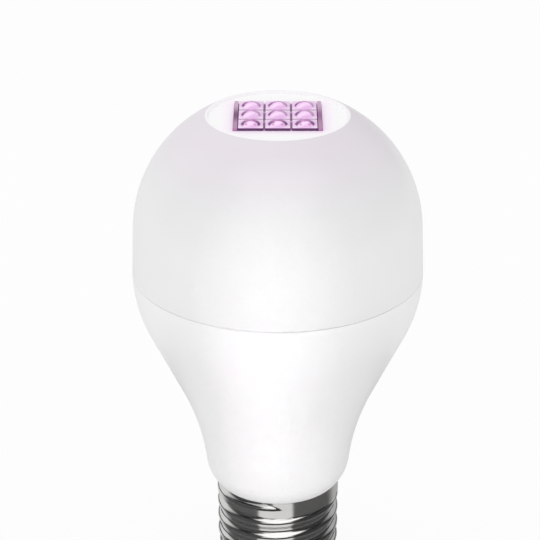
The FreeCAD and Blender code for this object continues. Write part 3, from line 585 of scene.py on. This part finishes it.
def dome_outline():
    band_top = (SEAM_RADIUS - BAND_HEIGHT * math.tan(DOME_DRAFT), SEAM_HEIGHT + BAND_HEIGHT)
    reach = band_top[0] - TOP_RADIUS
    rise = LAMP_TOP - band_top[1]
    lean = reach * math.cos(DOME_DRAFT) - rise * math.sin(DOME_DRAFT)
    dome_round = (reach ** 2 + rise ** 2) / (2 * lean)
    centre = (band_top[0] - dome_round * math.cos(DOME_DRAFT),
              band_top[1] - dome_round * math.sin(DOME_DRAFT))
    last = math.asin((LAMP_TOP - centre[1]) / dome_round)
    foot_z = SEAM_HEIGHT + SEAM_GAP / 2
    edge = (SEAM_RADIUS - SEAM_EDGE, foot_z + SEAM_EDGE)
    foot = arc(edge, SEAM_EDGE, -math.pi / 2, 0, EDGE_STEPS)
    outside = arc(centre, dome_round, DOME_DRAFT, last - TOP_EDGE / dome_round, DOME_STEPS)
    lid_foot = DISC_TOP - LID_THICKNESS
    lip = [(outside[-1][0] - LIP_SLOPE, LAMP_TOP), (OPENING_RADIUS + TOP_EDGE, LAMP_TOP),
           (OPENING_RADIUS, LAMP_TOP - TOP_EDGE), (OPENING_RADIUS, lid_foot)]
    inner = dome_round - DOME_WALL
    inner_last = math.asin((lid_foot - centre[1]) / inner)
    inside = arc(centre, inner, inner_last, DOME_DRAFT, INSIDE_STEPS)
    return foot + outside + lip + inside + [(SEAM_RADIUS - DOME_WALL, foot_z)]


# %% Dome finish and piece
LILAC_GLOW_START = 93 * MM
LILAC_GLOW_END = 106 * MM
LIP_GLOW_START = TOP_RADIUS + 0.05 * MM
LIP_GLOW_END = TOP_RADIUS - 0.10 * MM
LIP_GLOW = 0.07
OPAL = (0.86, 0.86, 0.863)
LILAC_GLOW_PAINT = (0.835, 0.785, 0.84)
LIP_GLOW_WHITE = (0.97, 0.96, 0.97)
LIP_LIGHT = (1, 0.99, 1)
NO_LIGHT = (0, 0, 0)

opal = Finish("opal_dome", OPAL, Roughness=0.42, Coat_Weight=0.35, Coat_Roughness=0.22)
# painted lilac glow of the diodes' light near the top of the dome
lilac_glow_mask = opal.smooth(opal.place("Z"), LILAC_GLOW_START, LILAC_GLOW_END)
from_axis = opal.length(opal.place("X"), opal.place("Y"))
# the lip is painted white and glows, painted light that hides the shade on its inner wall
lip_glow_mask = opal.smooth(from_axis, LIP_GLOW_START, LIP_GLOW_END)
opal.set("Base Color", opal.mix(lip_glow_mask, opal.mix(lilac_glow_mask, OPAL, LILAC_GLOW_PAINT), LIP_GLOW_WHITE))
opal.set("Emission Color", opal.mix(lip_glow_mask, NO_LIGHT, LIP_LIGHT))
opal.set("Emission Strength", LIP_GLOW)
opal.vary("Roughness", spread=0.06, scale=70)
dome = new_piece("dome_skin", turned_mesh("dome_skin", dome_outline()), opal)
print("dome faces:", len(dome.data.polygons))

# %% [markdown]
# The white lid lies in the dome's opening. It needs the rectangular hole for the module, so it is
# built as a flat face with a hole and given its thickness. It glows faintly all over, a painted
# glow, and round the module its colour and glow are painted pink, painted light where the diodes'
# light falls on it.

# %% Top disc
LID_STEPS = 96


def plate_with_hole(name, radius, half_x, half_y, top, thickness):
    shape = bmesh.new()
    outer = circle(radius, LID_STEPS)
    inner = [(half_x, -half_y), (half_x, half_y), (-half_x, half_y), (-half_x, -half_y)]
    edges = []
    for loop in (outer, inner):
        corners = [shape.verts.new((x, y, top)) for x, y in loop]
        edges += [shape.edges.new(pair) for pair in zip(corners, corners[1:] + corners[:1])]
    bmesh.ops.triangle_fill(shape, edges=edges, use_beauty=True)
    made = bmesh.ops.extrude_face_region(shape, geom=list(shape.faces))
    moved = [item for item in made["geom"] if isinstance(item, bmesh.types.BMVert)]
    bmesh.ops.translate(shape, verts=moved, vec=(0, 0, -thickness))
    return finished_mesh(name, shape)


# %% Disc finish and piece
LID_GLOW = 0.11
PINK_GLOW_REACH = 3.2 * MM
LID_WHITE = (0.94, 0.935, 0.94)
LID_PINK_GLOW_PAINT = (0.95, 0.87, 0.955)
PINK_LIGHT = (1.0, 0.72, 1.0)


def beside_module(finish):
    """1 beside the module, falling to 0 a few millimetres out."""
    out_x = (finish.place("X").math("ABSOLUTE") - TRAY_CORNER.x).math("MAXIMUM", 0.0)
    out_y = (finish.place("Y").math("ABSOLUTE") - TRAY_CORNER.y).math("MAXIMUM", 0.0)
    return finish.smooth(finish.length(out_x, out_y), PINK_GLOW_REACH, 0.0)


disc_white = Finish("disc_white", LID_WHITE, Roughness=0.5)
disc_white.vary("Roughness", spread=0.08, scale=120)
# painted pink light round the module, where the diodes' light falls on the lid
pink_glow_mask = beside_module(disc_white)
disc_white.set("Base Color", disc_white.mix(pink_glow_mask, LID_WHITE, LID_PINK_GLOW_PAINT))
disc_white.set("Emission Color", disc_white.mix(pink_glow_mask, WHITE, PINK_LIGHT))
# a faint painted glow all over the lid
disc_white.set("Emission Strength", LID_GLOW)
lid_mesh = plate_with_hole("lid", DISC_RADIUS, TRAY_CORNER.x + FIT_GAP, TRAY_CORNER.y + FIT_GAP,
                           DISC_TOP, LID_THICKNESS)
lid = new_piece("lid", lid_mesh, disc_white)
print("lid radius", round(DISC_RADIUS / MM, 2), "mm")

# %% [markdown]
# The cap's shell is sheet metal rolled into a round thread. Its surface follows a rule: the radius
# at any angle and height is the root radius plus a wave that climbs one pitch for each turn. That
# is a job for Geometry Nodes: a grid is bent round the axis, and each point's radius comes from
# the rule.

# %% Helpers for geometry trees
FLOAT = "NodeSocketFloat"
WHOLE = "NodeSocketInt"
OBJECT = "NodeSocketObject"
MATERIAL = "NodeSocketMaterial"


def new_tree(name, inputs):
    """A geometry tree with named inputs, each a (type, name) pair, and its graph."""
    tree = bpy.data.node_groups.new(name, "GeometryNodeTree")
    for kind, label in inputs:
        tree.interface.new_socket(label, in_out="INPUT", socket_type=kind)
    tree.interface.new_socket("Geometry", in_out="OUTPUT", socket_type="NodeSocketGeometry")
    graph = Graph(tree)
    entry = tree.nodes.new("NodeGroupInput")
    given = {label: Value(graph, entry.outputs[label]) for kind, label in inputs}
    return tree, graph, given


def close_tree(graph, geometry, finish):
    """Makes the result real, gives it its finish and hands it out."""
    real = graph.node("GeometryNodeRealizeInstances", inputs={"Geometry": geometry})
    inputs = {"Geometry": real, "Material": finish}
    last = graph.tree.nodes.new("NodeGroupOutput")
    graph.feed(last.inputs["Geometry"], graph.node("GeometryNodeSetMaterial", inputs=inputs))


def grown_mesh(name, tree, values):
    """Runs the tree with the given values and returns the plain mesh."""
    carrier = add_object(name + "_carrier", bpy.data.meshes.new(name + "_carrier"))
    modifier = carrier.modifiers.new("grow", "NODES")
    modifier.node_group = tree
    for socket in tree.interface.items_tree:
        if socket.in_out == "INPUT":
            modifier[socket.identifier] = values[socket.name]
    evaluated = carrier.evaluated_get(bpy.context.evaluated_depsgraph_get())
    mesh = bpy.data.meshes.new_from_object(evaluated)
    bpy.data.objects.remove(carrier)
    mesh.name = name
    return mesh


# %% Shell of the screw cap
THREAD_PITCH = 3.629 * MM
THREAD_DEPTH = 0.9 * MM
CREST_RADIUS = 13.03 * MM
THREAD_START = 6.0 * MM
THREAD_FADE = 3.6 * MM
FOOT_ROUND = 2.0 * MM
FOOT_SHARE = 0.1
COLLAR_HEIGHT = 3.4 * MM
SHOULDER_DROP = 1.3 * MM
SHELL_WALL = 0.3 * MM
RUN_OUT_TURN = 4
RUN_OUT_START = math.radians(100)
RUN_OUT_END = math.radians(275)
RUN_OUT_FADE = math.radians(22)
RUN_OUT_EDGE = 0.05
SHELL_STEPS_ROUND = 161
SHELL_STEPS_UP = 200
MERGE_DISTANCE = 1e-6


def shell_tree():
    """Rolled sheet from foot to collar, its thread fading in at the foot and into the collar."""
    tree, graph, given = new_tree("rolled_shell", [
        (WHOLE, "Steps round"), (WHOLE, "Steps up"), (FLOAT, "Root radius"),
        (FLOAT, "Collar radius"), (FLOAT, "Depth"), (FLOAT, "Pitch"), (FLOAT, "Start"),
        (FLOAT, "Foot"), (FLOAT, "Top"), (FLOAT, "Foot round"), (FLOAT, "Collar bottom"),
        (FLOAT, "Shoulder"), (FLOAT, "Fade"), (MATERIAL, "Finish"),
    ])
    grid = graph.node("GeometryNodeMeshGrid", inputs={
        "Size X": 1.0, "Size Y": 1.0,
        "Vertices X": given["Steps round"], "Vertices Y": given["Steps up"]})
    place = graph.node("GeometryNodeInputPosition")
    across, along = (graph.node("ShaderNodeSeparateXYZ", inputs={0: place}, output=axis) + 0.5
                     for axis in range(2))
    turn = across * (2 * math.pi)
    # the foot is a quarter round, the rest of the rows climb evenly
    foot_turn = (along / FOOT_SHARE).math("MINIMUM", 1.0) * (math.pi / 2)
    foot_round = given["Foot round"]
    foot_top = given["Foot"] + foot_round
    climb = ((along - FOOT_SHARE) / (1 - FOOT_SHARE)).math("MAXIMUM", 0.0)
    height = foot_top - foot_round * foot_turn.math("COSINE") + climb * (given["Top"] - foot_top)
    plain = given["Root radius"] - foot_round + foot_round * foot_turn.math("SINE")
    # distance from the nearest crest, then two equal arcs that meet halfway down the flank, a
    # quarter of the pitch from the crest
    pitch, depth = given["Pitch"], given["Depth"]
    half_pitch = pitch * 0.5
    lift = height - given["Start"] - turn * pitch / (2 * math.pi)
    away = graph.math("WRAP", lift, half_pitch, half_pitch * -1).math("ABSOLUTE")
    quarter = pitch * 0.25
    arc_radius = (quarter * quarter + depth * depth * 0.25) / depth
    near = away.math("MINIMUM", half_pitch - away)
    bow = arc_radius - (arc_radius * arc_radius - near * near).math("SQRT")
    on_crest = graph.math("LESS_THAN", away, quarter)
    wave = on_crest * (depth - bow) + (1 - on_crest) * bow
    allowed = ((height - foot_top) / given["Fade"]).math("MAXIMUM", 0.0) * depth
    thread = wave.math("MINIMUM", allowed)
    # the last turn runs on under the housing's rim on the left, and ends in the collar in front
    last_turn = pitch * RUN_OUT_TURN
    run_out = graph.smooth(turn, RUN_OUT_END, RUN_OUT_END - RUN_OUT_FADE)
    run_out = run_out * graph.smooth(turn, RUN_OUT_START, RUN_OUT_START + RUN_OUT_FADE)
    run_out = run_out * graph.smooth(lift, last_turn, pitch * (RUN_OUT_TURN + RUN_OUT_EDGE))
    collar_bottom = given["Collar bottom"]
    collar = graph.smooth(height, collar_bottom - given["Shoulder"], collar_bottom)
    collar = collar * (1 - run_out)
    step_out = given["Collar radius"] - given["Root radius"]
    radius = plain + thread.math("MAXIMUM", collar * step_out)
    point = graph.node("ShaderNodeCombineXYZ", inputs={
        "X": radius * turn.math("COSINE"), "Y": radius * turn.math("SINE"), "Z": height})
    bent = graph.node("GeometryNodeSetPosition", inputs={"Geometry": grid, "Position": point})
    closed = graph.node("GeometryNodeMergeByDistance", inputs={
        "Geometry": bent, "Distance": MERGE_DISTANCE})
    close_tree(graph, closed, given["Finish"])
    return tree


# %% Nickel finish and the shell
nickel = Finish("nickel_plate", (0.765, 0.76, 0.745), Metallic=1.0, Roughness=0.16)
nickel.vary("Roughness", spread=0.10, scale=400)
shell_mesh = grown_mesh("screw_shell_skin", shell_tree(), {
    "Steps round": SHELL_STEPS_ROUND,
    "Steps up": SHELL_STEPS_UP,
    "Root radius": CREST_RADIUS - THREAD_DEPTH,
    "Collar radius": COLLAR_RADIUS,
    "Depth": THREAD_DEPTH,
    "Pitch": THREAD_PITCH,
    "Start": THREAD_START,
    "Foot": CAP_FOOT,
    "Top": CAP_TOP,
    "Foot round": FOOT_ROUND,
    "Collar bottom": CAP_TOP - COLLAR_HEIGHT,
    "Shoulder": SHOULDER_DROP,
    "Fade": THREAD_FADE,
    "Finish": nickel.material,
})
shell = new_piece("screw_shell_skin", shell_mesh, nickel)
# the whole wall lies inside the surface
wall = shell.modifiers.new("sheet", "SOLIDIFY")
wall.thickness = SHELL_WALL
wall.offset = -1
print("shell faces:", len(shell.data.polygons))

# %% [markdown]
# Below the shell sit the black glass button and the contact. The photograph cuts them off, so they
# follow what every lamp with this cap has, and take their places from the solids.

# %% Finishes for the bottom of the cap
cap_glass = Finish("cap_glass", (0.02, 0.02, 0.025), Roughness=0.12)
cap_glass.vary("Roughness", spread=0.08, scale=300)
contact_metal = Finish("contact_metal", (0.76, 0.74, 0.70), Metallic=1.0, Roughness=0.3)
contact_metal.vary("Roughness", spread=0.2, scale=500)


def dress(node, finish):
    """Gives a solid of the frame its finish."""
    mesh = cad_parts[node].data
    mesh.materials.clear()
    mesh.materials.append(finish.material)


dress("cap_insulator", cap_glass)
dress("centre_contact", contact_metal)
print("button and contact dressed")

# %% [markdown]
# The module on top glows pink and lilac. Its tray is dark violet with a raised rail on each side.
# The rails are darkest in the middle, the left one more than the right, and paler at both ends.

# %% Tray and board finishes
RAIL_LEFT = (0.17, 0.02, 0.16)
RAIL_RIGHT = (0.33, 0.11, 0.31)
RAIL_REAR = (0.62, 0.40, 0.60)
RAIL_FRONT = (0.50, 0.24, 0.46)
REAR_PART = (0.0, 0.7)
FRONT_PART = (-0.1, -0.7)

violet_tray = Finish("violet_tray", (0.50, 0.25, 0.50), Roughness=0.3)
along_rail = violet_tray.place("Y") / TRAY_CORNER.y
on_right = violet_tray.smooth(violet_tray.place("X"), -MM, MM)
middle = violet_tray.mix(on_right, RAIL_LEFT, RAIL_RIGHT)
rear_rail = violet_tray.mix(violet_tray.smooth(along_rail, *REAR_PART), middle, RAIL_REAR)
front_rail = violet_tray.smooth(along_rail, *FRONT_PART)
violet_tray.set("Base Color", violet_tray.mix(front_rail, rear_rail, RAIL_FRONT))
violet_board = Finish("violet_board", (0.28, 0.10, 0.30), Roughness=0.4)
violet_board.vary("Roughness", spread=0.1, scale=300)
dress("uv_tray", violet_tray)
dress("uv_board", violet_board)
print("tray dressed")

# %% [markdown]
# Nine diodes repeat on a grid, so one package and one window are modelled and Geometry Nodes sets a
# copy on each point. A package is a pale block with softened edges, whose front faces are darkened
# with painted shade; a window is a low clear dome.

# %% One package and one window
PACKAGE_SIDE = high("uv_led_1").x - low("uv_led_1").x
PACKAGE_HEIGHT = DIODE_TOP - DISC_TOP
PACKAGE_BEVEL = 0.08 * MM
COLUMN_PITCH = low("uv_led_2").x - low("uv_led_1").x
ROW_PITCH = low("uv_led_4").y - low("uv_led_1").y
WINDOW_RADIUS = (high("uv_lens_5").x - low("uv_lens_5").x) / 2
WINDOW_RISE = high("uv_lens_5").z - DIODE_TOP
WINDOW_SINK = 0.05 * MM
WINDOW_ARC_STEPS = 10
WINDOW_TURN_STEPS = 32


def package_mesh():
    shape = bmesh.new()
    bmesh.ops.create_cube(shape, size=1)
    size = (PACKAGE_SIDE, PACKAGE_SIDE, PACKAGE_HEIGHT)
    bmesh.ops.scale(shape, vec=size, verts=shape.verts)
    bmesh.ops.translate(shape, vec=(0, 0, PACKAGE_HEIGHT / 2), verts=shape.verts)
    bmesh.ops.bevel(shape, geom=list(shape.edges), offset=PACKAGE_BEVEL, segments=2,
                    affect="EDGES", profile=0.5)
    return finished_mesh("package", shape)


def window_outline():
    ball = (WINDOW_RADIUS ** 2 + WINDOW_RISE ** 2) / (2 * WINDOW_RISE)
    spread = math.asin(WINDOW_RADIUS / ball)
    centre = (0, WINDOW_RISE - ball)
    cap = arc(centre, ball, math.pi / 2 - spread, math.pi / 2, WINDOW_ARC_STEPS)
    return [(0, -WINDOW_SINK), (WINDOW_RADIUS, -WINDOW_SINK)] + cap


# %% A tree that repeats a shape on a grid
COLUMNS = 3
ROWS = 3


def array_tree():
    tree, graph, given = new_tree("grid_of_parts", [
        (OBJECT, "Part"), (WHOLE, "Columns"), (WHOLE, "Rows"), (FLOAT, "Width"),
        (FLOAT, "Depth"), (FLOAT, "Height"), (MATERIAL, "Finish"),
    ])
    grid = graph.node("GeometryNodeMeshGrid", inputs={
        "Size X": given["Width"], "Size Y": given["Depth"],
        "Vertices X": given["Columns"], "Vertices Y": given["Rows"]})
    lifted = graph.node("ShaderNodeCombineXYZ", inputs={"Z": given["Height"]})
    points = graph.node("GeometryNodeSetPosition", inputs={"Geometry": grid, "Offset": lifted})
    part = graph.node("GeometryNodeObjectInfo", inputs={"Object": given["Part"]},
                      output="Geometry")
    copies = graph.node("GeometryNodeInstanceOnPoints", inputs={
        "Points": points, "Instance": part})
    close_tree(graph, copies, given["Finish"])
    return tree


def repeated_piece(name, mesh, height, finish):
    pattern = add_object(name + "_pattern", mesh)
    grown = grown_mesh(name, grid_of_parts, {
        "Part": pattern,
        "Columns": COLUMNS,
        "Rows": ROWS,
        "Width": (COLUMNS - 1) * COLUMN_PITCH,
        "Depth": (ROWS - 1) * ROW_PITCH,
        "Height": height,
        "Finish": finish.material,
    })
    bpy.data.objects.remove(pattern)
    return new_piece(name, grown, finish)


grid_of_parts = array_tree()
print("grid of", COLUMNS, "by", ROWS, "parts")

# %% [markdown]
# The packages are ceramic. Their tops are pale at the corners and pinker at the edges, their faces
# towards the front are darkened with painted shade, and their sides between the rows are lit with
# painted paler light. The board under them shows only in the gaps, dark between the columns and
# with painted pale light where the rows' gaps cross.

# %% Package and board finishes
FRONT_FACE = -(ROW_PITCH + PACKAGE_SIDE / 2)
INNER_ROWS = (FRONT_FACE + 0.2 * MM, FRONT_FACE + 0.6 * MM)
FACING_UP = (0.3, 0.8)
CORNER_PART = (0.3, 0.7)
SIDE_SHADE_IN_FRONT = (0.13, 0.025, 0.14)
SIDE_LIGHT_BETWEEN_ROWS = (0.62, 0.36, 0.62)
PACKAGE_PINK = (0.86, 0.58, 0.87)
PACKAGE_CORNER = (0.93, 0.74, 0.93)
PACKAGE_GLOW = 0.06
ROW_GAP_LIGHT = (0.72, 0.86)
BOARD_VIOLET = (0.42, 0.20, 0.43)
BOARD_PAINTED_LIGHT = (0.78, 0.58, 0.78)


def cell(finish, axis, pitch):
    """The place inside one cell of the grid, from minus half a pitch to half a pitch."""
    return finish.math("WRAP", finish.place(axis), pitch / 2, -pitch / 2)


def paint_package(finish):
    """Pale corners and pinker edges on top, painted shade on the front faces, and painted paler
    light on the sides between the rows.
    """
    normal = finish.node("ShaderNodeNewGeometry", output="Normal")
    upright = finish.node("ShaderNodeSeparateXYZ", inputs={0: normal}, output="Z")
    facing_up = finish.smooth(upright, *FACING_UP)
    x = (cell(finish, "X", COLUMN_PITCH) / (PACKAGE_SIDE / 2)).math("ABSOLUTE")
    y = (cell(finish, "Y", ROW_PITCH) / (PACKAGE_SIDE / 2)).math("ABSOLUTE")
    corner = finish.smooth(x * y, *CORNER_PART)
    # painted shade on the front faces, and painted paler light on the sides between the rows
    inner_row = finish.smooth(finish.place("Y"), *INNER_ROWS)
    side = finish.mix(inner_row, SIDE_SHADE_IN_FRONT, SIDE_LIGHT_BETWEEN_ROWS)
    top = finish.mix(corner, PACKAGE_PINK, PACKAGE_CORNER)
    finish.set("Base Color", finish.mix(facing_up, side, top))
    finish.set("Emission Color", finish.mix(facing_up, NO_LIGHT, top))
    finish.set("Emission Strength", PACKAGE_GLOW)


def paint_board(finish):
    """Dark between the columns, and painted pale light where the gaps between the rows cross them.
    """
    y = cell(finish, "Y", ROW_PITCH).math("ABSOLUTE") / (ROW_PITCH / 2)
    # painted pale light where the gaps between the rows cross the columns
    finish.set("Base Color", finish.mix(finish.smooth(y, *ROW_GAP_LIGHT), BOARD_VIOLET, BOARD_PAINTED_LIGHT))


paint_board(violet_board)
pale_package = Finish("diode_package", PACKAGE_PINK, Roughness=0.35)
paint_package(pale_package)
packages = repeated_piece("diode_packages", package_mesh(), DISC_TOP, pale_package)
print("packages:", len(packages.data.polygons), "faces")

# %% [markdown]
# Each window is clear, and the dark far wall of the diode's cup that would show through it is
# painted on it as an eyebrow of painted shade, over a pale middle with a painted slanting glint. In
# the front row the eyebrow hangs lower, and two faint dots sit at the window's foot. The lines are
# a little ragged, as in the picture.

# %% Window finish and pieces
# places are in window radii from the window's middle, and each pair holds the ends of a soft step
FRONT_ROW = -ROW_PITCH / 2
IN_FRONT = (FRONT_ROW + 0.1 * MM, FRONT_ROW - 0.1 * MM)
RAGGED_SCALE = 1400
RAGGED_SPREAD = 0.7
EYEBROW_BEND = 0.85
EYEBROW_FOOT = -0.17
EYEBROW_HANG = 0.18
EYEBROW_SOFT = 0.30
EYEBROW_TOP = (0.85, 0.62)
EYEBROW_SHADE = 0.95
EYEBROW_FADE = 0.35
EYEBROW_FADE_PART = (-0.3, 0.5)
EYEBROW_ENDS = (0.2, 0.8)
WINDOW_RIM = (1.02, 0.92)
GLINT_SLOPE = (0.45, 0.9)
GLINT_PLACE = 0.42
GLINT_RAGGED = 0.4
GLINT_PART = (0.40, 0.05)
DOT_PLACE = (0.42, -0.62)
DOT_PART = (0.20, 0.08)
DOT_INK = 0.5
EYEBROW_PLUM = (0.48, 0.15, 0.44)
EYEBROW_VIOLET = (0.16, 0.03, 0.18)
MIDDLE_PINK = (0.86, 0.54, 0.87)
GLINT_PINK = (0.98, 0.72, 0.98)
WINDOW_GLOW = 0.1


def paint_window(finish):
    """Paints the dark far wall of the diode's cup as an eyebrow of painted shade, over a pale
    middle.
    """
    x = cell(finish, "X", COLUMN_PITCH) / WINDOW_RADIUS
    y = cell(finish, "Y", ROW_PITCH) / WINDOW_RADIUS
    beside = x.math("ABSOLUTE")
    in_front = finish.smooth(finish.place("Y"), *IN_FRONT)
    ragged = (finish.noise(RAGGED_SCALE) - 0.5) * RAGGED_SPREAD
    # the eyebrow, painted shade of the cup's dark far wall
    bow = y + x * x * EYEBROW_BEND
    foot = ragged + EYEBROW_FOOT - EYEBROW_HANG * in_front
    wall = finish.smooth(bow, foot, foot + EYEBROW_SOFT) * finish.smooth(bow, *EYEBROW_TOP)
    wall = wall * finish.smooth(finish.length(x, y), *WINDOW_RIM)
    fade = EYEBROW_FADE * finish.smooth(x, *EYEBROW_FADE_PART) * (1 - in_front)
    # the colour of the eyebrow's painted shade
    eyebrow_shade_colour = finish.mix(finish.smooth(beside, *EYEBROW_ENDS), EYEBROW_PLUM, EYEBROW_VIOLET)
    # the pale middle and its painted glint
    slant = y * GLINT_SLOPE[1] - x * GLINT_SLOPE[0] + GLINT_PLACE + ragged * GLINT_RAGGED
    glint = finish.smooth(slant.math("ABSOLUTE"), *GLINT_PART)
    middle = finish.mix(glint, MIDDLE_PINK, GLINT_PINK)
    # the two dots
    from_dot = finish.length(beside - DOT_PLACE[0], y - DOT_PLACE[1])
    dots = finish.smooth(from_dot, *DOT_PART) * in_front * DOT_INK
    dark = (wall * (EYEBROW_SHADE - fade)).math("MAXIMUM", dots)
    colour = finish.mix(dark, middle, eyebrow_shade_colour)
    finish.set("Base Color", colour)
    finish.set("Emission Color", colour)
    finish.set("Emission Strength", WINDOW_GLOW)


window_glass = Finish("diode_window", (0.88, 0.62, 0.90), Roughness=0.12)
paint_window(window_glass)
window_mesh = turned_mesh("window", window_outline(), WINDOW_TURN_STEPS)
windows = repeated_piece("diode_windows", window_mesh, DIODE_TOP, window_glass)
print("windows:", len(windows.data.polygons), "faces")

# %% [markdown]
# The pieces inside can't be seen while the lamp is closed, but each still gets its own finish, so
# that the model is whole.

# %% Finishes inside
# for each finish: colour, metallic, roughness, and the solids that wear it
INNER_FINISHES = {
    "plain_aluminium": ((0.78, 0.79, 0.80), 1.0, 0.35, ["heat_sink", "uv_post"]),
    "screw_steel": ((0.60, 0.60, 0.61), 1.0, 0.3, ["board_screws"]),
    "white_mask": ((0.90, 0.90, 0.89), 0.0, 0.4, ["main_board"]),
    "phosphor": ((0.90, 0.75, 0.25), 0.0, 0.5, ["white_leds"]),
    "green_mask": ((0.05, 0.22, 0.09), 0.0, 0.35, ["driver_board"]),
    "black_compound": ((0.03, 0.03, 0.035), 0.0, 0.4,
                       ["input_capacitor", "output_capacitor", "driver_chip", "bridge_rectifier"]),
    "dark_ferrite": ((0.12, 0.11, 0.11), 0.0, 0.5, ["choke"]),
    "red_resin": ((0.45, 0.06, 0.05), 0.0, 0.3, ["film_capacitor"]),
    "fuse_lacquer": ((0.25, 0.38, 0.45), 0.0, 0.35, ["fuse_resistor"]),
    "red_insulation": ((0.60, 0.04, 0.03), 0.0, 0.45,
                       ["live_wire", "led_wire_red", "uv_wire_red"]),
    "black_insulation": ((0.03, 0.03, 0.03), 0.0, 0.45, ["led_wire_black", "uv_wire_black"]),
    "white_insulation": ((0.85, 0.85, 0.83), 0.0, 0.45, ["neutral_wire"]),
}

for name, (colour, metallic, roughness, nodes) in INNER_FINISHES.items():
    inner = Finish(name, colour, Metallic=metallic, Roughness=roughness)
    inner.vary("Roughness", spread=0.12, scale=350)
    for node in nodes:
        dress(node, inner)
print("inner finishes:", len(INNER_FINISHES))

# %% [markdown]
# Each new piece stands for the solids that it dresses. They all belong to the one body of a lamp
# that has no moving part.

# %% Join the pieces to the frame
DIODES = range(1, 10)
PIECES = [
    (housing, "white_housing", ["housing"]),
    (dome, "opal_dome", ["dome"]),
    (lid, "disc_white", ["top_disc"]),
    (shell, "nickel_plate", ["screw_shell"]),
    (packages, "diode_package", [f"uv_led_{number}" for number in DIODES]),
    (windows, "diode_window", [f"uv_lens_{number}" for number in DIODES]),
]
for piece, slot_name, nodes in PIECES:
    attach(piece, "root")
    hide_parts(*nodes)
print("pieces:", len(PIECES))
